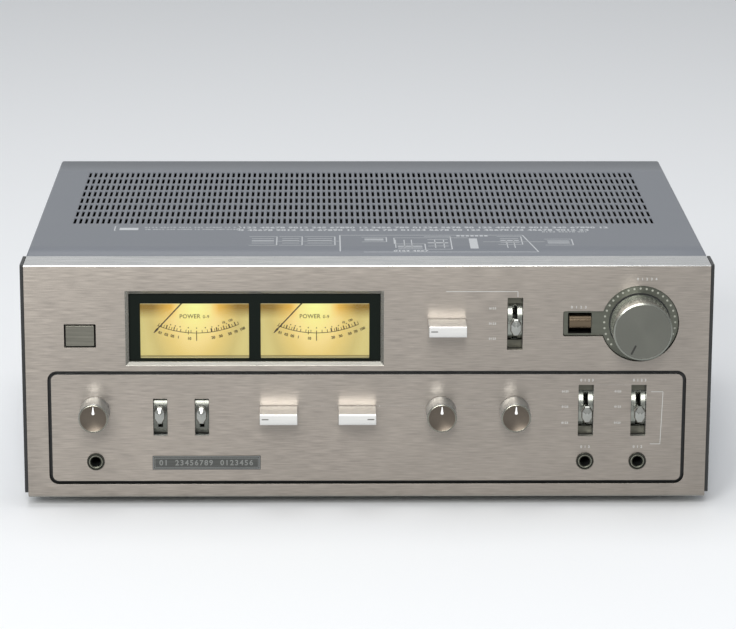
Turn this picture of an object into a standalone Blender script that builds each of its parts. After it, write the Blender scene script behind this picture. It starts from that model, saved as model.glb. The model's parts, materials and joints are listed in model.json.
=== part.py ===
"""Integrated amplifier with two power meters, every piece a separate solid.

The front faces -Y, +X is to the right of someone facing it, +Z is up, and it stands on z = 0.
Sizes are in metres. A place on the front is given by x, by its depth behind the panel's face
and by its height above the panel's lower edge.
"""

import math

import bmesh
import bpy
from mathutils import Euler, Matrix, Vector

MM = 0.001

# Fits shared by all pieces
GAP = 0.3 * MM
OVERRUN = 2.0 * MM
MERGE = 0.01 * MM
SHEET = 1.2 * MM
FINE_STEPS = 32
ROUND_STEPS = 20
COARSE_STEPS = 16
HIDDEN_STEPS = 12
PIN_STEPS = 8
CORNER_STEPS = 3
PADDLE_STEPS = 6

# Upper row of the front, from its left edge to its right edge
LEFT_TO_POWER = 36.7 * MM
POWER_TO_METERS = 30.1 * MM
METER_OPENING_WIDTH = 172.0 * MM
METERS_TO_FUNCTION = 41.8 * MM
FUNCTION_TO_MODE = 45.4 * MM
MODE_TO_VOLUME = 83.2 * MM
VOLUME_TO_RIGHT = 46.4 * MM
VOLUME_TO_PADDLE = 40.0 * MM

# Lower row: one group at each end and the tone controls about the middle
LEFT_TO_SPEAKERS = 45.8 * MM
SPEAKERS_TO_FILTERS = 43.6 * MM
FILTER_PITCH = 27.8 * MM
TONE_GROUP_START = 59.1 * MM
TURNOVER_PITCH = 52.3 * MM
TURNOVER_TO_BASS = 56.2 * MM
TONE_PITCH = 49.3 * MM
TAPE_TO_COPY = 35.3 * MM
COPY_TO_RIGHT = 46.0 * MM

# Heights on the front, from its lower edge to its top
BOTTOM_TO_LOWER_PANEL = 11.55 * MM
LOWER_PANEL_TO_JACKS = 13.65 * MM
JACKS_TO_LOWER_ROW = 35.2 * MM
LOWER_ROW_TO_PANEL_TOP = 25.25 * MM
LOWER_PANEL_TO_METERS = 6.1 * MM
METER_OPENING_HEIGHT = 51.3 * MM
METERS_TO_TOP = 17.45 * MM
METER_BASE_TO_UPPER_ROW = 28.65 * MM
POWER_DROP = 8.1 * MM
SHORT_WELL_DROP = 4.3 * MM

# Cabinet
BODY_DEPTH = 341.0 * MM
PANEL_THICKNESS = 4.0 * MM
PANEL_CHAMFER = 0.8 * MM
PANEL_FOOT_CHAMFER = 1.6 * MM
RETURN_DEPTH = 26.7 * MM
LOWER_RETURN_DEPTH = 18.0 * MM
RETURN_THICKNESS = 2.2 * MM
END_CAP_THICKNESS = 2.0 * MM
END_CAP_CHAMFER = 3.0 * MM
SUBCHASSIS_THICKNESS = 1.5 * MM
SUBCHASSIS_MARGIN = 1.5 * MM
CHASSIS_LIFT = 4.0 * MM
CHASSIS_WALL = 42.0 * MM
FOOT_HEIGHT = 11.0 * MM
FOOT_RADIUS = 19.0 * MM
FOOT_TAPER = 2.5 * MM
FOOT_ROUNDING = 2.0 * MM
FOOT_RECESS_RADIUS = 7.0 * MM
FOOT_RECESS_DEPTH = 5.0 * MM
FOOT_INSET = 38.0 * MM
FOOT_SETBACK = 46.0 * MM
COVER_DROP = 0.4 * MM
SHEET_BEND = 2.0 * MM
COVER_OVERHANG = 0.9 * MM
REAR_INSET = 1.0 * MM

# Cover grille
GRILLE_ROWS = 8
GRILLE_COLUMNS = 26
GRILLE_DEPTH = 173.3 * MM
GRILLE_SIDE_MARGIN = 25.2 * MM
GRILLE_BACK_MARGIN = 41.4 * MM
GRILLE_ROW_BAR = 4.4 * MM
GRILLE_SLOT_WIDTH = 6.4 * MM

# Chassis vents
VENT_ROWS = 2
VENT_COLUMNS = 7
VENT_LENGTH = 46.0 * MM
VENT_WIDTH = 4.0 * MM
VENT_PITCH = 24.0 * MM
VENT_ROW_PITCH = 70.0 * MM
VENT_DEPTH = 190.0 * MM

# Lower panel, set into the main panel
LOWER_SIDE_MARGIN = 16.8 * MM
LOWER_CORNER = 4.0 * MM
LOWER_GAP = 2.3 * MM

# Power meters
METER_OPENING_CHAMFER = 2.3 * MM
METER_FRAME_THICKNESS = 3.0 * MM
METER_FRAME_SIDE = 2.5 * MM
METER_FRAME_BELOW = 3.5 * MM
METER_FRAME_ABOVE = 10.5 * MM
WINDOW_SIDE = 9.7 * MM
WINDOW_PILLAR = 7.8 * MM
WINDOW_SILL = 3.65 * MM
WINDOW_LINTEL = 9.65 * MM
PANE_THICKNESS = 1.5 * MM
HOUSING_WALL = 1.5 * MM
HOUSING_DEPTH = 40.0 * MM
DIAL_THICKNESS = 0.8 * MM
DIAL_BEHIND_PANE = 4.6 * MM
DIAL_BESIDE_WINDOW = 2.05 * MM
DIAL_BELOW_WINDOW = 3.9 * MM
DIAL_ABOVE_WINDOW = 12.1 * MM
NEEDLE_PIVOT_RISE = 7.8 * MM
NEEDLE_LENGTH = 40.0 * MM
NEEDLE_WIDTH = 0.9 * MM
NEEDLE_THICKNESS = 0.5 * MM
NEEDLE_HUB_RADIUS = 2.2 * MM
NEEDLE_HUB_LENGTH = 1.6 * MM
NEEDLE_TAIL = 5.0 * MM
NEEDLE_SHAFT_RADIUS = 0.8 * MM
NEEDLE_SHAFT_DEPTH = 7.0 * MM
NEEDLE_REST = math.radians(42.6)
MOVEMENT_RADIUS = 11.5 * MM
MOVEMENT_DEPTH = 16.0 * MM
MOVEMENT_STEM = 12.0 * MM
LAMP_STRIP_DEPTH = 4.0 * MM
LAMP_STRIP_THICKNESS = 1.2 * MM
LAMP_STRIP_MARGIN = 12.0 * MM
LAMP_RADIUS = 1.8 * MM
LAMP_LENGTH = 5.5 * MM

# Rotary controls: knobs, bars and what they turn
SHAFT_RADIUS = 3.0 * MM
SHAFT_DEPTH = 16.0 * MM
SHAFT_FLOOR = 1.0 * MM
BUSHING_RADIUS = 4.6 * MM
SHAFT_CLEARANCE = 0.4 * MM
KNOB_RADIUS = 10.1 * MM
KNOB_FACE_RADIUS = 9.9 * MM
KNOB_REACH = 18.6 * MM
KNOB_CHAMFER = 0.4 * MM
KNOB_STANDOFF = 0.8 * MM
KNOB_SKIRT = 1.6 * MM
INDEX_WIDTH = 0.9 * MM
INDEX_LENGTH = 4.2 * MM
INDEX_DEPTH = 0.4 * MM
INDEX_INSET = 1.2 * MM
BAR_LENGTH = 25.0 * MM
BAR_THICKNESS = 7.4 * MM
BAR_REACH = 21.6 * MM
BAR_CHAMFER = 0.6 * MM
SELECTOR_RADIUS = 14.0 * MM
SPEAKER_SELECTOR_DEPTH = 22.0 * MM
FUNCTION_SELECTOR_DEPTH = 34.0 * MM
WAFER_GROOVE_WIDTH = 5.0 * MM
WAFER_GROOVE_DEPTH = 3.0 * MM
TONE_CONTROL_RADIUS = 12.0 * MM
TONE_CONTROL_DEPTH = 18.0 * MM
TONE_BOARD_THICKNESS = 1.6 * MM
TONE_BOARD_MARGIN = 14.0 * MM
TONE_BOARD_HEIGHT = 40.0 * MM

# Volume control and its keyhole escutcheon
VOLUME_RADIUS = 19.8 * MM
VOLUME_FACE_RADIUS = 18.9 * MM
VOLUME_REACH = 21.7 * MM
VOLUME_CHAMFER = 0.7 * MM
VOLUME_SKIRT = 2.6 * MM
VOLUME_STANDOFF = 0.6 * MM
VOLUME_FACE_RECESS = 0.4 * MM
VOLUME_INDEX_LENGTH = 6.9 * MM
VOLUME_START = math.radians(206.0)
VOLUME_CONTROL_RADIUS = 15.0 * MM
VOLUME_CONTROL_DEPTH = 24.0 * MM
DISH_RADIUS = 25.7 * MM
DISH_DEPTH = 2.0 * MM
KEYWAY_END_MARGIN = 3.5 * MM
KEYWAY_HALF_HEIGHT = 8.3 * MM
KEYWAY_CORNER = 1.0 * MM
ESCUTCHEON_FLANGE = 2.5 * MM
ESCUTCHEON_FLANGE_THICKNESS = 1.5 * MM

# Muting paddle
PADDLE_WIDTH = 14.6 * MM
PADDLE_HEIGHT = 9.2 * MM
PADDLE_RISE = 1.4 * MM
PADDLE_SIDE_GAP = 0.5 * MM
PADDLE_HOLE_HEIGHT = 14.2 * MM
PADDLE_REACH = 3.0 * MM
PADDLE_ROUNDING = 4.0 * MM
PADDLE_PIVOT = 21.0 * MM
PADDLE_ARM = 3.2 * MM
PADDLE_NECK = 6.0 * MM
PADDLE_HOUSING_WALL = 2.0 * MM
PADDLE_HOUSING_BACK = 9.0 * MM

# Toggle levers and their switches
WELL_WIDTH = 10.2 * MM
WELL_HEIGHT = 35.6 * MM
SHORT_WELL_WIDTH = 9.5 * MM
SHORT_WELL_HEIGHT = 25.6 * MM
BARREL_RADIUS = 19.0 * MM
BARREL_FRONT = 1.4 * MM
LEVER_SWING = math.radians(20.0)
SHORT_LEVER_SWING = math.radians(8.0)
LEVER_ARM_WIDTH = 2.1 * MM
LEVER_ARM_HEIGHT = 5.0 * MM
LEVER_SLOT_WIDTH = 3.2 * MM
LEVER_SLOT_MARGIN = 2.4 * MM
LEVER_HUB_RADIUS = 3.6 * MM
LEVER_HUB_CLEARANCE = 0.6 * MM
PIVOT_PIN_RADIUS = 1.0 * MM
PIVOT_HOLE_RADIUS = 1.3 * MM
LEVER_NECK_CLEARANCE = 1.4 * MM
LEVER_HEAD_WIDTH = 7.4 * MM
LEVER_HEAD_HEIGHT = 11.9 * MM
LEVER_HEAD_LENGTH = 12.0 * MM
LEVER_FACETS = 8
# How wide the head is, of its full width, at each point along its length, from its tip to its neck
LEVER_HEAD_SHARES = (
    (0.42, 1.0),
    (0.74, 0.965),
    (0.96, 0.87),
    (1.0, 0.75),
    (0.90, 0.54),
    (0.62, 0.24),
    (0.46, 0.0),
)
SWITCH_FLANGE = 4.0 * MM
SWITCH_FLANGE_THICKNESS = 1.5 * MM
SWITCH_BACK = 8.0 * MM

# Power button and switch
POWER_HOLE_WIDTH = 21.0 * MM
POWER_HOLE_HEIGHT = 16.0 * MM
POWER_SIDE_GAP = 0.9 * MM
POWER_CAP_DEPTH = 9.0 * MM
POWER_CAP_CHAMFER = 0.6 * MM
POWER_STEM = 5.0 * MM
POWER_STEM_DEPTH = 26.0 * MM
POWER_SWITCH_WALL = 3.0 * MM
POWER_SWITCH_DEPTH = 42.0 * MM
POWER_POCKET_FLOOR = 1.5 * MM

# Phone jacks
JACK_BORE_RADIUS = 3.175 * MM
JACK_BORE_DEPTH = 31.0 * MM
JACK_RING_RADIUS = 5.9 * MM
JACK_RING_THICKNESS = 1.2 * MM
JACK_RING_CHAMFER = 0.5 * MM
JACK_NECK_RADIUS = 4.5 * MM
JACK_BODY_RADIUS = 7.0 * MM
JACK_BODY_BACK = 3.0 * MM

# Power supply and amplifier inside
LEFT_TO_TRANSFORMER = 82.8 * MM
TRANSFORMER_DEPTH = 130.0 * MM
CORE_WIDTH = 96.0 * MM
CORE_THICKNESS = 42.0 * MM
CORE_HEIGHT = 82.0 * MM
BELL_WIDTH = 66.0 * MM
BELL_DEPTH = 24.0 * MM
BELL_HEIGHT = 62.0 * MM
BELL_ROUNDING = 8.0 * MM
TRANSFORMER_FLANGE = 12.0 * MM
TRANSFORMER_FLANGE_THICKNESS = 2.5 * MM
CAPACITOR_X = -38.0 * MM
CAPACITOR_PITCH = 52.0 * MM
CAPACITOR_DEPTH = 110.0 * MM
CAPACITOR_RADIUS = 22.5 * MM
CAPACITOR_HEIGHT = 86.0 * MM
CAPACITOR_CLAMP_RADIUS = 24.5 * MM
CAPACITOR_CLAMP_HEIGHT = 16.0 * MM
CAPACITOR_ROUNDING = 2.0 * MM
HEAT_SINK_X = 0.0 * MM
HEAT_SINK_DEPTH = 226.0 * MM
HEAT_SINK_WIDTH = 330.0 * MM
HEAT_SINK_HEIGHT = 96.0 * MM
HEAT_SINK_WALL = 5.0 * MM
HEAT_SINK_FLANGE = 8.0 * MM
FIN_COUNT = 22
FIN_THICKNESS = 2.0 * MM
FIN_LENGTH = 30.0 * MM
BOARD_TO_RIGHT = 109.8 * MM
BOARD_DEPTH = 138.0 * MM
BOARD_WIDTH = 188.0 * MM
BOARD_LENGTH = 130.0 * MM
BOARD_THICKNESS = 1.6 * MM
BOARD_POST_RADIUS = 3.5 * MM
BOARD_POST_HEIGHT = 10.0 * MM
BOARD_POST_INSET = 9.0 * MM
COMPONENT_RADIUS = 8.0 * MM
COMPONENT_HEIGHT = 24.0 * MM
COMPONENT_PITCH = 42.0 * MM
COMPONENT_ROW = 34.0 * MM
RELAY_WIDTH = 30.0 * MM
RELAY_LENGTH = 22.0 * MM
RELAY_HEIGHT = 26.0 * MM

# Rear connectors
INPUTS_TO_RIGHT = 99.8 * MM
INPUTS_HEIGHT = 92.0 * MM
INPUT_COLUMNS = 6
INPUT_ROWS = 2
INPUT_PITCH = 19.0 * MM
INPUT_ROW_PITCH = 22.0 * MM
INPUT_MARGIN = 11.0 * MM
INPUT_OVERLAP = 4.0 * MM
INPUT_PLATE_THICKNESS = 1.6 * MM
PIN_JACK_RADIUS = 4.15 * MM
PIN_JACK_BORE = 1.7 * MM
PIN_JACK_REACH = 8.5 * MM
PIN_BORE_STEPS = 6
SPEAKER_STRIP_X = -36.0 * MM
SPEAKER_STRIP_HEIGHT = 60.0 * MM
SPEAKER_STRIP_WIDTH = 104.0 * MM
SPEAKER_STRIP_TALL = 44.0 * MM
SPEAKER_STRIP_REACH = 6.0 * MM
SPEAKER_COLUMNS = 4
SPEAKER_ROWS = 2
SPEAKER_PITCH = 24.0 * MM
SPEAKER_ROW_PITCH = 20.0 * MM
TERMINAL_RADIUS = 4.0 * MM
TERMINAL_REACH = 5.0 * MM
LEFT_TO_OUTLETS = 77.8 * MM
OUTLETS_HEIGHT = 104.0 * MM
OUTLET_COUNT = 3
OUTLET_PITCH = 30.0 * MM
OUTLET_FACE_HEIGHT = 28.0 * MM
OUTLET_REACH = 2.5 * MM
OUTLET_BODY_DEPTH = 16.0 * MM
OUTLET_BODY_MARGIN = 2.0 * MM
OUTLET_SLOT_LENGTH = 8.5 * MM
OUTLET_SLOT_WIDTH = 2.4 * MM
OUTLET_SLOT_PITCH = 12.7 * MM
OUTLET_SLOT_DEPTH = 14.0 * MM
LEFT_TO_GLAND = 31.8 * MM
GLAND_HEIGHT = 46.0 * MM
GLAND_RADIUS = 9.0 * MM
GLAND_NECK_RADIUS = 6.5 * MM
GLAND_BORE_RADIUS = 3.8 * MM
GLAND_REACH = 9.0 * MM
GLAND_TIP_RADIUS = 6.8 * MM
GLAND_FLANGE = 2.0 * MM
GLAND_INSIDE = 8.0 * MM

# Places across the front, from the sizes above
PANEL_WIDTH = (
    LEFT_TO_POWER
    + POWER_TO_METERS
    + METER_OPENING_WIDTH
    + METERS_TO_FUNCTION
    + FUNCTION_TO_MODE
    + MODE_TO_VOLUME
    + VOLUME_TO_RIGHT
)
PANEL_RIGHT = PANEL_WIDTH / 2
PANEL_LEFT = -PANEL_RIGHT
POWER_X = PANEL_LEFT + LEFT_TO_POWER
METER_CENTRE_X = POWER_X + POWER_TO_METERS + METER_OPENING_WIDTH / 2
FUNCTION_X = METER_CENTRE_X + METER_OPENING_WIDTH / 2 + METERS_TO_FUNCTION
MODE_X = FUNCTION_X + FUNCTION_TO_MODE
VOLUME_X = MODE_X + MODE_TO_VOLUME
PADDLE_X = VOLUME_X - VOLUME_TO_PADDLE
KEYWAY_LEFT = PADDLE_X - PADDLE_WIDTH / 2 - KEYWAY_END_MARGIN
SPEAKERS_X = PANEL_LEFT + LEFT_TO_SPEAKERS
LOW_FILTER_X = SPEAKERS_X + SPEAKERS_TO_FILTERS
HIGH_FILTER_X = LOW_FILTER_X + FILTER_PITCH
BASS_TURNOVER_X = -TONE_GROUP_START
TREBLE_TURNOVER_X = BASS_TURNOVER_X + TURNOVER_PITCH
BASS_X = TREBLE_TURNOVER_X + TURNOVER_TO_BASS
TREBLE_X = BASS_X + TONE_PITCH
COPY_X = PANEL_RIGHT - COPY_TO_RIGHT
TAPE_X = COPY_X - TAPE_TO_COPY
LOWER_WIDTH = PANEL_WIDTH - 2 * LOWER_SIDE_MARGIN
WINDOW_WIDTH = (METER_OPENING_WIDTH - 2 * WINDOW_SIDE - WINDOW_PILLAR) / 2
METER_PITCH = WINDOW_WIDTH + WINDOW_PILLAR
DIAL_WIDTH = WINDOW_WIDTH + 2 * DIAL_BESIDE_WINDOW
TRANSFORMER_X = PANEL_LEFT + LEFT_TO_TRANSFORMER
BOARD_X = PANEL_RIGHT - BOARD_TO_RIGHT
INPUTS_X = PANEL_RIGHT - INPUTS_TO_RIGHT
OUTLETS_X = PANEL_LEFT + LEFT_TO_OUTLETS
GLAND_X = PANEL_LEFT + LEFT_TO_GLAND

# Heights above the front's lower edge
LOWER_BASE = BOTTOM_TO_LOWER_PANEL
JACK_HEIGHT = LOWER_BASE + LOWER_PANEL_TO_JACKS
LOWER_ROW = JACK_HEIGHT + JACKS_TO_LOWER_ROW
LOWER_TOP = LOWER_ROW + LOWER_ROW_TO_PANEL_TOP
LOWER_HEIGHT = LOWER_TOP - LOWER_BASE
LOWER_CENTRE = (LOWER_TOP + LOWER_BASE) / 2
SHORT_WELL_CENTRE = LOWER_ROW - SHORT_WELL_DROP
METER_BASE = LOWER_TOP + LOWER_PANEL_TO_METERS
METER_TOP = METER_BASE + METER_OPENING_HEIGHT
METER_OPENING_CENTRE = (METER_BASE + METER_TOP) / 2
PANEL_HEIGHT = METER_TOP + METERS_TO_TOP
UPPER_ROW = METER_BASE + METER_BASE_TO_UPPER_ROW
POWER_HEIGHT = UPPER_ROW - POWER_DROP
WINDOW_BASE = METER_BASE + WINDOW_SILL
WINDOW_TOP = METER_TOP - WINDOW_LINTEL
WINDOW_HEIGHT = WINDOW_TOP - WINDOW_BASE
WINDOW_CENTRE = (WINDOW_TOP + WINDOW_BASE) / 2
DIAL_BASE = WINDOW_BASE - DIAL_BELOW_WINDOW
DIAL_HEIGHT = WINDOW_TOP + DIAL_ABOVE_WINDOW - DIAL_BASE
NEEDLE_PIVOT = WINDOW_TOP + NEEDLE_PIVOT_RISE

# Depths behind the panel's face, and what else follows
FRONT_REACH = max(VOLUME_REACH, BAR_REACH, KNOB_REACH)
TERMINAL_OUT = SPEAKER_STRIP_REACH + TERMINAL_REACH + GAP
REAR_REACH = max(PIN_JACK_REACH, TERMINAL_OUT, OUTLET_REACH, GLAND_REACH) - REAR_INSET
FACE_Y = FRONT_REACH - (FRONT_REACH + BODY_DEPTH + REAR_REACH) / 2
PANEL_BASE = FOOT_HEIGHT + GAP - CHASSIS_LIFT
PANEL_BACK = PANEL_THICKNESS
SUBCHASSIS_FRONT = PANEL_BACK + GAP
SUBCHASSIS_BACK = SUBCHASSIS_FRONT + SUBCHASSIS_THICKNESS
BEHIND_SUBCHASSIS = SUBCHASSIS_BACK + GAP
FLOOR = CHASSIS_LIFT + SHEET + GAP
COVER_WIDTH = PANEL_WIDTH + 2 * COVER_OVERHANG
COVER_TOP = PANEL_HEIGHT - COVER_DROP
GRILLE_WIDTH = COVER_WIDTH - 2 * GRILLE_SIDE_MARGIN
GRILLE_FRONT = BODY_DEPTH - GRILLE_BACK_MARGIN - GRILLE_DEPTH
COVER_FRONT = RETURN_DEPTH + GAP
INNER_WIDTH = COVER_WIDTH - 2 * (SHEET + GAP)
REAR_FACE = BODY_DEPTH - REAR_INSET
REAR_INSIDE = REAR_FACE - SHEET
LEVER_PIVOT = BARREL_FRONT + BARREL_RADIUS
PANE_FRONT = SUBCHASSIS_FRONT + METER_FRAME_THICKNESS + GAP
PANE_BACK = PANE_FRONT + PANE_THICKNESS
DIAL_FRONT = PANE_BACK + DIAL_BEHIND_PANE
DIAL_BACK = DIAL_FRONT + DIAL_THICKNESS
METER_FRAME_WIDTH = METER_OPENING_WIDTH + 2 * METER_FRAME_SIDE
METER_FRAME_LOW = METER_BASE - METER_FRAME_BELOW
METER_FRAME_HIGH = METER_TOP + METER_FRAME_ABOVE
METER_FRAME_TALL = METER_FRAME_HIGH - METER_FRAME_LOW
METER_FRAME_CENTRE = (METER_FRAME_HIGH + METER_FRAME_LOW) / 2

# Ways to stand a shape up: its own Z out of the front, out of the back, or across the cabinet
OUT_OF_FRONT = Euler((math.radians(90), 0, 0))
OUT_OF_BACK = Euler((math.radians(-90), 0, 0))
ACROSS = Matrix(((0, 0, -1), (-1, 0, 0), (0, 1, 0))).to_euler()
UPRIGHT = Euler((0, 0, 0))

# Colour, roughness and metallic value of each finish
FINISHES = {
    "brushed_aluminium": ((0.55, 0.52, 0.49), 0.35, 1.0),
    "polished_metal": ((0.80, 0.80, 0.80), 0.12, 1.0),
    "silver_bar": ((0.86, 0.86, 0.86), 0.30, 0.6),
    "grey_metal": ((0.33, 0.33, 0.34), 0.40, 0.9),
    "painted_steel": ((0.24, 0.27, 0.31), 0.45, 0.0),
    "plated_steel": ((0.55, 0.55, 0.52), 0.40, 0.9),
    "black_steel": ((0.03, 0.03, 0.03), 0.50, 0.0),
    "black_plastic": ((0.02, 0.02, 0.02), 0.45, 0.0),
    "black_rubber": ((0.03, 0.03, 0.03), 0.80, 0.0),
    "clear_pane": ((0.90, 0.93, 0.93), 0.05, 0.0),
    "cream_dial": ((0.92, 0.78, 0.42), 0.60, 0.0),
    "lamp": ((1.00, 0.85, 0.50), 0.20, 0.0),
    "circuit_board": ((0.35, 0.24, 0.10), 0.60, 0.0),
    "blue_sleeve": ((0.05, 0.08, 0.22), 0.40, 0.0),
    "brown_steel": ((0.16, 0.12, 0.09), 0.45, 0.3),
}


def clear_scene():
    for item in list(bpy.data.objects):
        bpy.data.objects.remove(item)


def new_collection(name):
    collection = bpy.data.collections.new(name)
    bpy.context.scene.collection.children.link(collection)
    return collection


def place(x, depth, height):
    """A point given by x, depth behind the panel's face and height above its lower edge."""
    return Vector((x, FACE_Y + depth, PANEL_BASE + height))


def new_object(name, mesh, location, rotation=UPRIGHT):
    """An object among the cutters; as_piece moves the ones that are pieces of the amplifier."""
    item = bpy.data.objects.new(name, mesh)
    item.location = location
    item.rotation_euler = rotation
    item.hide_render = True
    item.display_type = "WIRE"
    CUTTERS.objects.link(item)
    return item


def as_piece(item, finish, edge_angle=math.radians(35)):
    """Makes the object a piece of the amplifier, with its own material."""
    CUTTERS.objects.unlink(item)
    PIECES.objects.link(item)
    item.hide_render = False
    item.display_type = "TEXTURED"
    colour, roughness, metallic = FINISHES[finish]
    material = bpy.data.materials.new(item.name)
    material.use_nodes = True
    shader = material.node_tree.nodes["Principled BSDF"]
    shader.inputs["Base Color"].default_value = (*colour, 1.0)
    shader.inputs["Roughness"].default_value = roughness
    shader.inputs["Metallic"].default_value = metallic
    item.data.materials.clear()
    item.data.materials.append(material)
    item.data.shade_smooth()
    item.data.set_sharp_from_angle(angle=edge_angle)
    return item


def combine(target, other, operation):
    modifier = target.modifiers.new(f"{operation.lower()} {other.name}", "BOOLEAN")
    modifier.operation = operation
    modifier.object = other
    modifier.solver = "EXACT"
    return target


def cut(target, cutter):
    return combine(target, cutter, "DIFFERENCE")


def join(target, other):
    return combine(target, other, "UNION")


def bevel(target, width, segments=1):
    modifier = target.modifiers.new("edges", "BEVEL")
    modifier.width = width
    modifier.segments = segments
    modifier.limit_method = "ANGLE"
    modifier.angle_limit = math.radians(40)
    return target


def block_mesh(name, size, matrices=(Matrix.Identity(4),)):
    """One cube of the given size for each matrix."""
    built = bmesh.new()
    for matrix in matrices:
        cube = bmesh.ops.create_cube(built, size=1.0)
        bmesh.ops.scale(built, vec=size, verts=cube["verts"])
        bmesh.ops.transform(built, matrix=matrix, verts=cube["verts"])
    mesh = bpy.data.meshes.new(name)
    built.to_mesh(mesh)
    built.free()
    return mesh


def block(name, size, location, rotation=UPRIGHT):
    return new_object(name, block_mesh(name, Vector(size)), location, rotation)


def block_between(name, low, high):
    """A block between two corners, each given as x, depth and height."""
    near = place(*low)
    far = place(*high)
    return block(name, far - near, (near + far) / 2)


def block_grid(name, size, columns, column_pitch, rows, row_pitch, location, rotation=UPRIGHT):
    """Equal blocks in a grid centred on the location, in the object's own XY plane."""
    matrices = []
    for column in range(columns):
        for row in range(rows):
            offset = Vector(
                (
                    (column - (columns - 1) / 2) * column_pitch,
                    (row - (rows - 1) / 2) * row_pitch,
                    0,
                )
            )
            matrices.append(Matrix.Translation(offset))
    return new_object(name, block_mesh(name, Vector(size), matrices), location, rotation)


def tapered_block(name, back_size, front_size, length, location, rotation=OUT_OF_FRONT):
    """A block whose far end, in its own +Z, has another size. Its origin is its near end."""
    built = bmesh.new()
    bmesh.ops.create_cube(built, size=1.0)
    for vertex in built.verts:
        far_end = vertex.co.z > 0
        width, height = front_size if far_end else back_size
        vertex.co.x *= width
        vertex.co.y *= height
        vertex.co.z = length if far_end else 0
    mesh = bpy.data.meshes.new(name)
    built.to_mesh(mesh)
    built.free()
    return new_object(name, mesh, location, rotation)


def rod(name, radius, length, location, rotation=OUT_OF_FRONT, steps=ROUND_STEPS):
    """A cylinder centred on its location, along its own Z."""
    built = bmesh.new()
    bmesh.ops.create_cone(
        built,
        cap_ends=True,
        segments=steps,
        radius1=radius,
        radius2=radius,
        depth=length,
    )
    mesh = bpy.data.meshes.new(name)
    built.to_mesh(mesh)
    built.free()
    return new_object(name, mesh, location, rotation)


def rod_grid(name, radius, length, columns, column_pitch, rows, row_pitch, location, rotation, steps):
    """Equal cylinders in a grid centred on the location, along the object's own Z."""
    built = bmesh.new()
    for column in range(columns):
        for row in range(rows):
            offset = Vector(
                (
                    (column - (columns - 1) / 2) * column_pitch,
                    (row - (rows - 1) / 2) * row_pitch,
                    0,
                )
            )
            bmesh.ops.create_cone(
                built,
                cap_ends=True,
                segments=steps,
                radius1=radius,
                radius2=radius,
                depth=length,
                matrix=Matrix.Translation(offset),
            )
    mesh = bpy.data.meshes.new(name)
    built.to_mesh(mesh)
    built.free()
    return new_object(name, mesh, location, rotation)


def baked(item):
    """The object with its modifiers, or its curve, turned into a plain closed mesh."""
    evaluated = item.evaluated_get(bpy.context.evaluated_depsgraph_get())
    mesh = bpy.data.meshes.new_from_object(evaluated)
    built = bmesh.new()
    built.from_mesh(mesh)
    bmesh.ops.remove_doubles(built, verts=built.verts, dist=MERGE)
    bmesh.ops.recalc_face_normals(built, faces=built.faces)
    built.to_mesh(mesh)
    built.free()
    name = item.name
    location = item.location.copy()
    rotation = item.rotation_euler.copy()
    bpy.data.objects.remove(item)
    return new_object(name, mesh, location, rotation)


def turned(name, profile, location, rotation=OUT_OF_FRONT, steps=ROUND_STEPS):
    """A turned solid. The profile's (radius, height) points run down its outer side."""
    mesh = bpy.data.meshes.new(name)
    points = [(radius, 0, height) for radius, height in profile]
    edges = [(index, index + 1) for index in range(len(points) - 1)]
    mesh.from_pydata(points, edges, [])
    item = new_object(name, mesh, location, rotation)
    screw = item.modifiers.new("turn", "SCREW")
    screw.steps = steps
    screw.render_steps = steps
    screw.use_merge_vertices = True
    screw.merge_threshold = MERGE
    screw.use_smooth_shade = True
    return baked(item)


def outlined(name, outlines, thickness, location, rotation=OUT_OF_FRONT):
    """A plate of even thickness, centred on its location, from closed outlines; inner ones are holes."""
    curve = bpy.data.curves.new(name, "CURVE")
    curve.dimensions = "2D"
    curve.fill_mode = "BOTH"
    curve.extrude = thickness / 2
    for outline in outlines:
        spline = curve.splines.new("POLY")
        spline.points.add(len(outline) - 1)
        for point, (x, y) in zip(spline.points, outline):
            point.co = (x, y, 0, 1)
        spline.use_cyclic_u = True
    return baked(new_object(name, curve, location, rotation))


def arc(centre, radius, start, end, steps):
    """Points along an arc, both ends included."""
    points = []
    for step in range(steps + 1):
        angle = start + (end - start) * step / steps
        points.append((centre[0] + radius * math.cos(angle), centre[1] + radius * math.sin(angle)))
    return points


def circle(centre, radius, steps=ROUND_STEPS):
    return arc(centre, radius, 0, math.tau, steps)[:-1]


def rectangle(centre, width, height, radius=0.0):
    """A rectangle's outline, with round corners where a radius is given."""
    half_width = width / 2 - radius
    half_height = height / 2 - radius
    corners = ((1, 1), (-1, 1), (-1, -1), (1, -1))
    points = []
    for turn, (side, level) in enumerate(corners):
        corner = (centre[0] + side * half_width, centre[1] + level * half_height)
        if radius > 0:
            start = turn * math.pi / 2
            points += arc(corner, radius, start, start + math.pi / 2, CORNER_STEPS)
        else:
            points.append(corner)
    return points


def keyhole(margin):
    """The dish with the paddle's keyway running into it, grown all round by a margin."""
    radius = DISH_RADIUS + margin
    half_height = KEYWAY_HALF_HEIGHT + margin
    corner = KEYWAY_CORNER + margin
    left = KEYWAY_LEFT - margin
    meeting = math.asin(half_height / radius)
    centre = (VOLUME_X, UPPER_ROW)
    points = arc(centre, radius, math.pi + meeting, 3 * math.pi - meeting, FINE_STEPS)
    high = (left + corner, UPPER_ROW + half_height - corner)
    low = (left + corner, UPPER_ROW - half_height + corner)
    points += arc(high, corner, math.pi / 2, math.pi, CORNER_STEPS)
    points += arc(low, corner, math.pi, 3 * math.pi / 2, CORNER_STEPS)
    return points


def plate(name, outlines, front, thickness):
    """A plate parallel to the front; its outlines are in x and height."""
    return outlined(name, outlines, thickness, place(0, front + thickness / 2, 0))


def opened(target, outlines, front, thickness):
    """Cuts outlines through a plate that runs from a depth over a thickness."""
    low = front - OVERRUN
    through = thickness + 2 * OVERRUN
    return cut(target, plate(target.name + "_openings", outlines, low, through))


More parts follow.
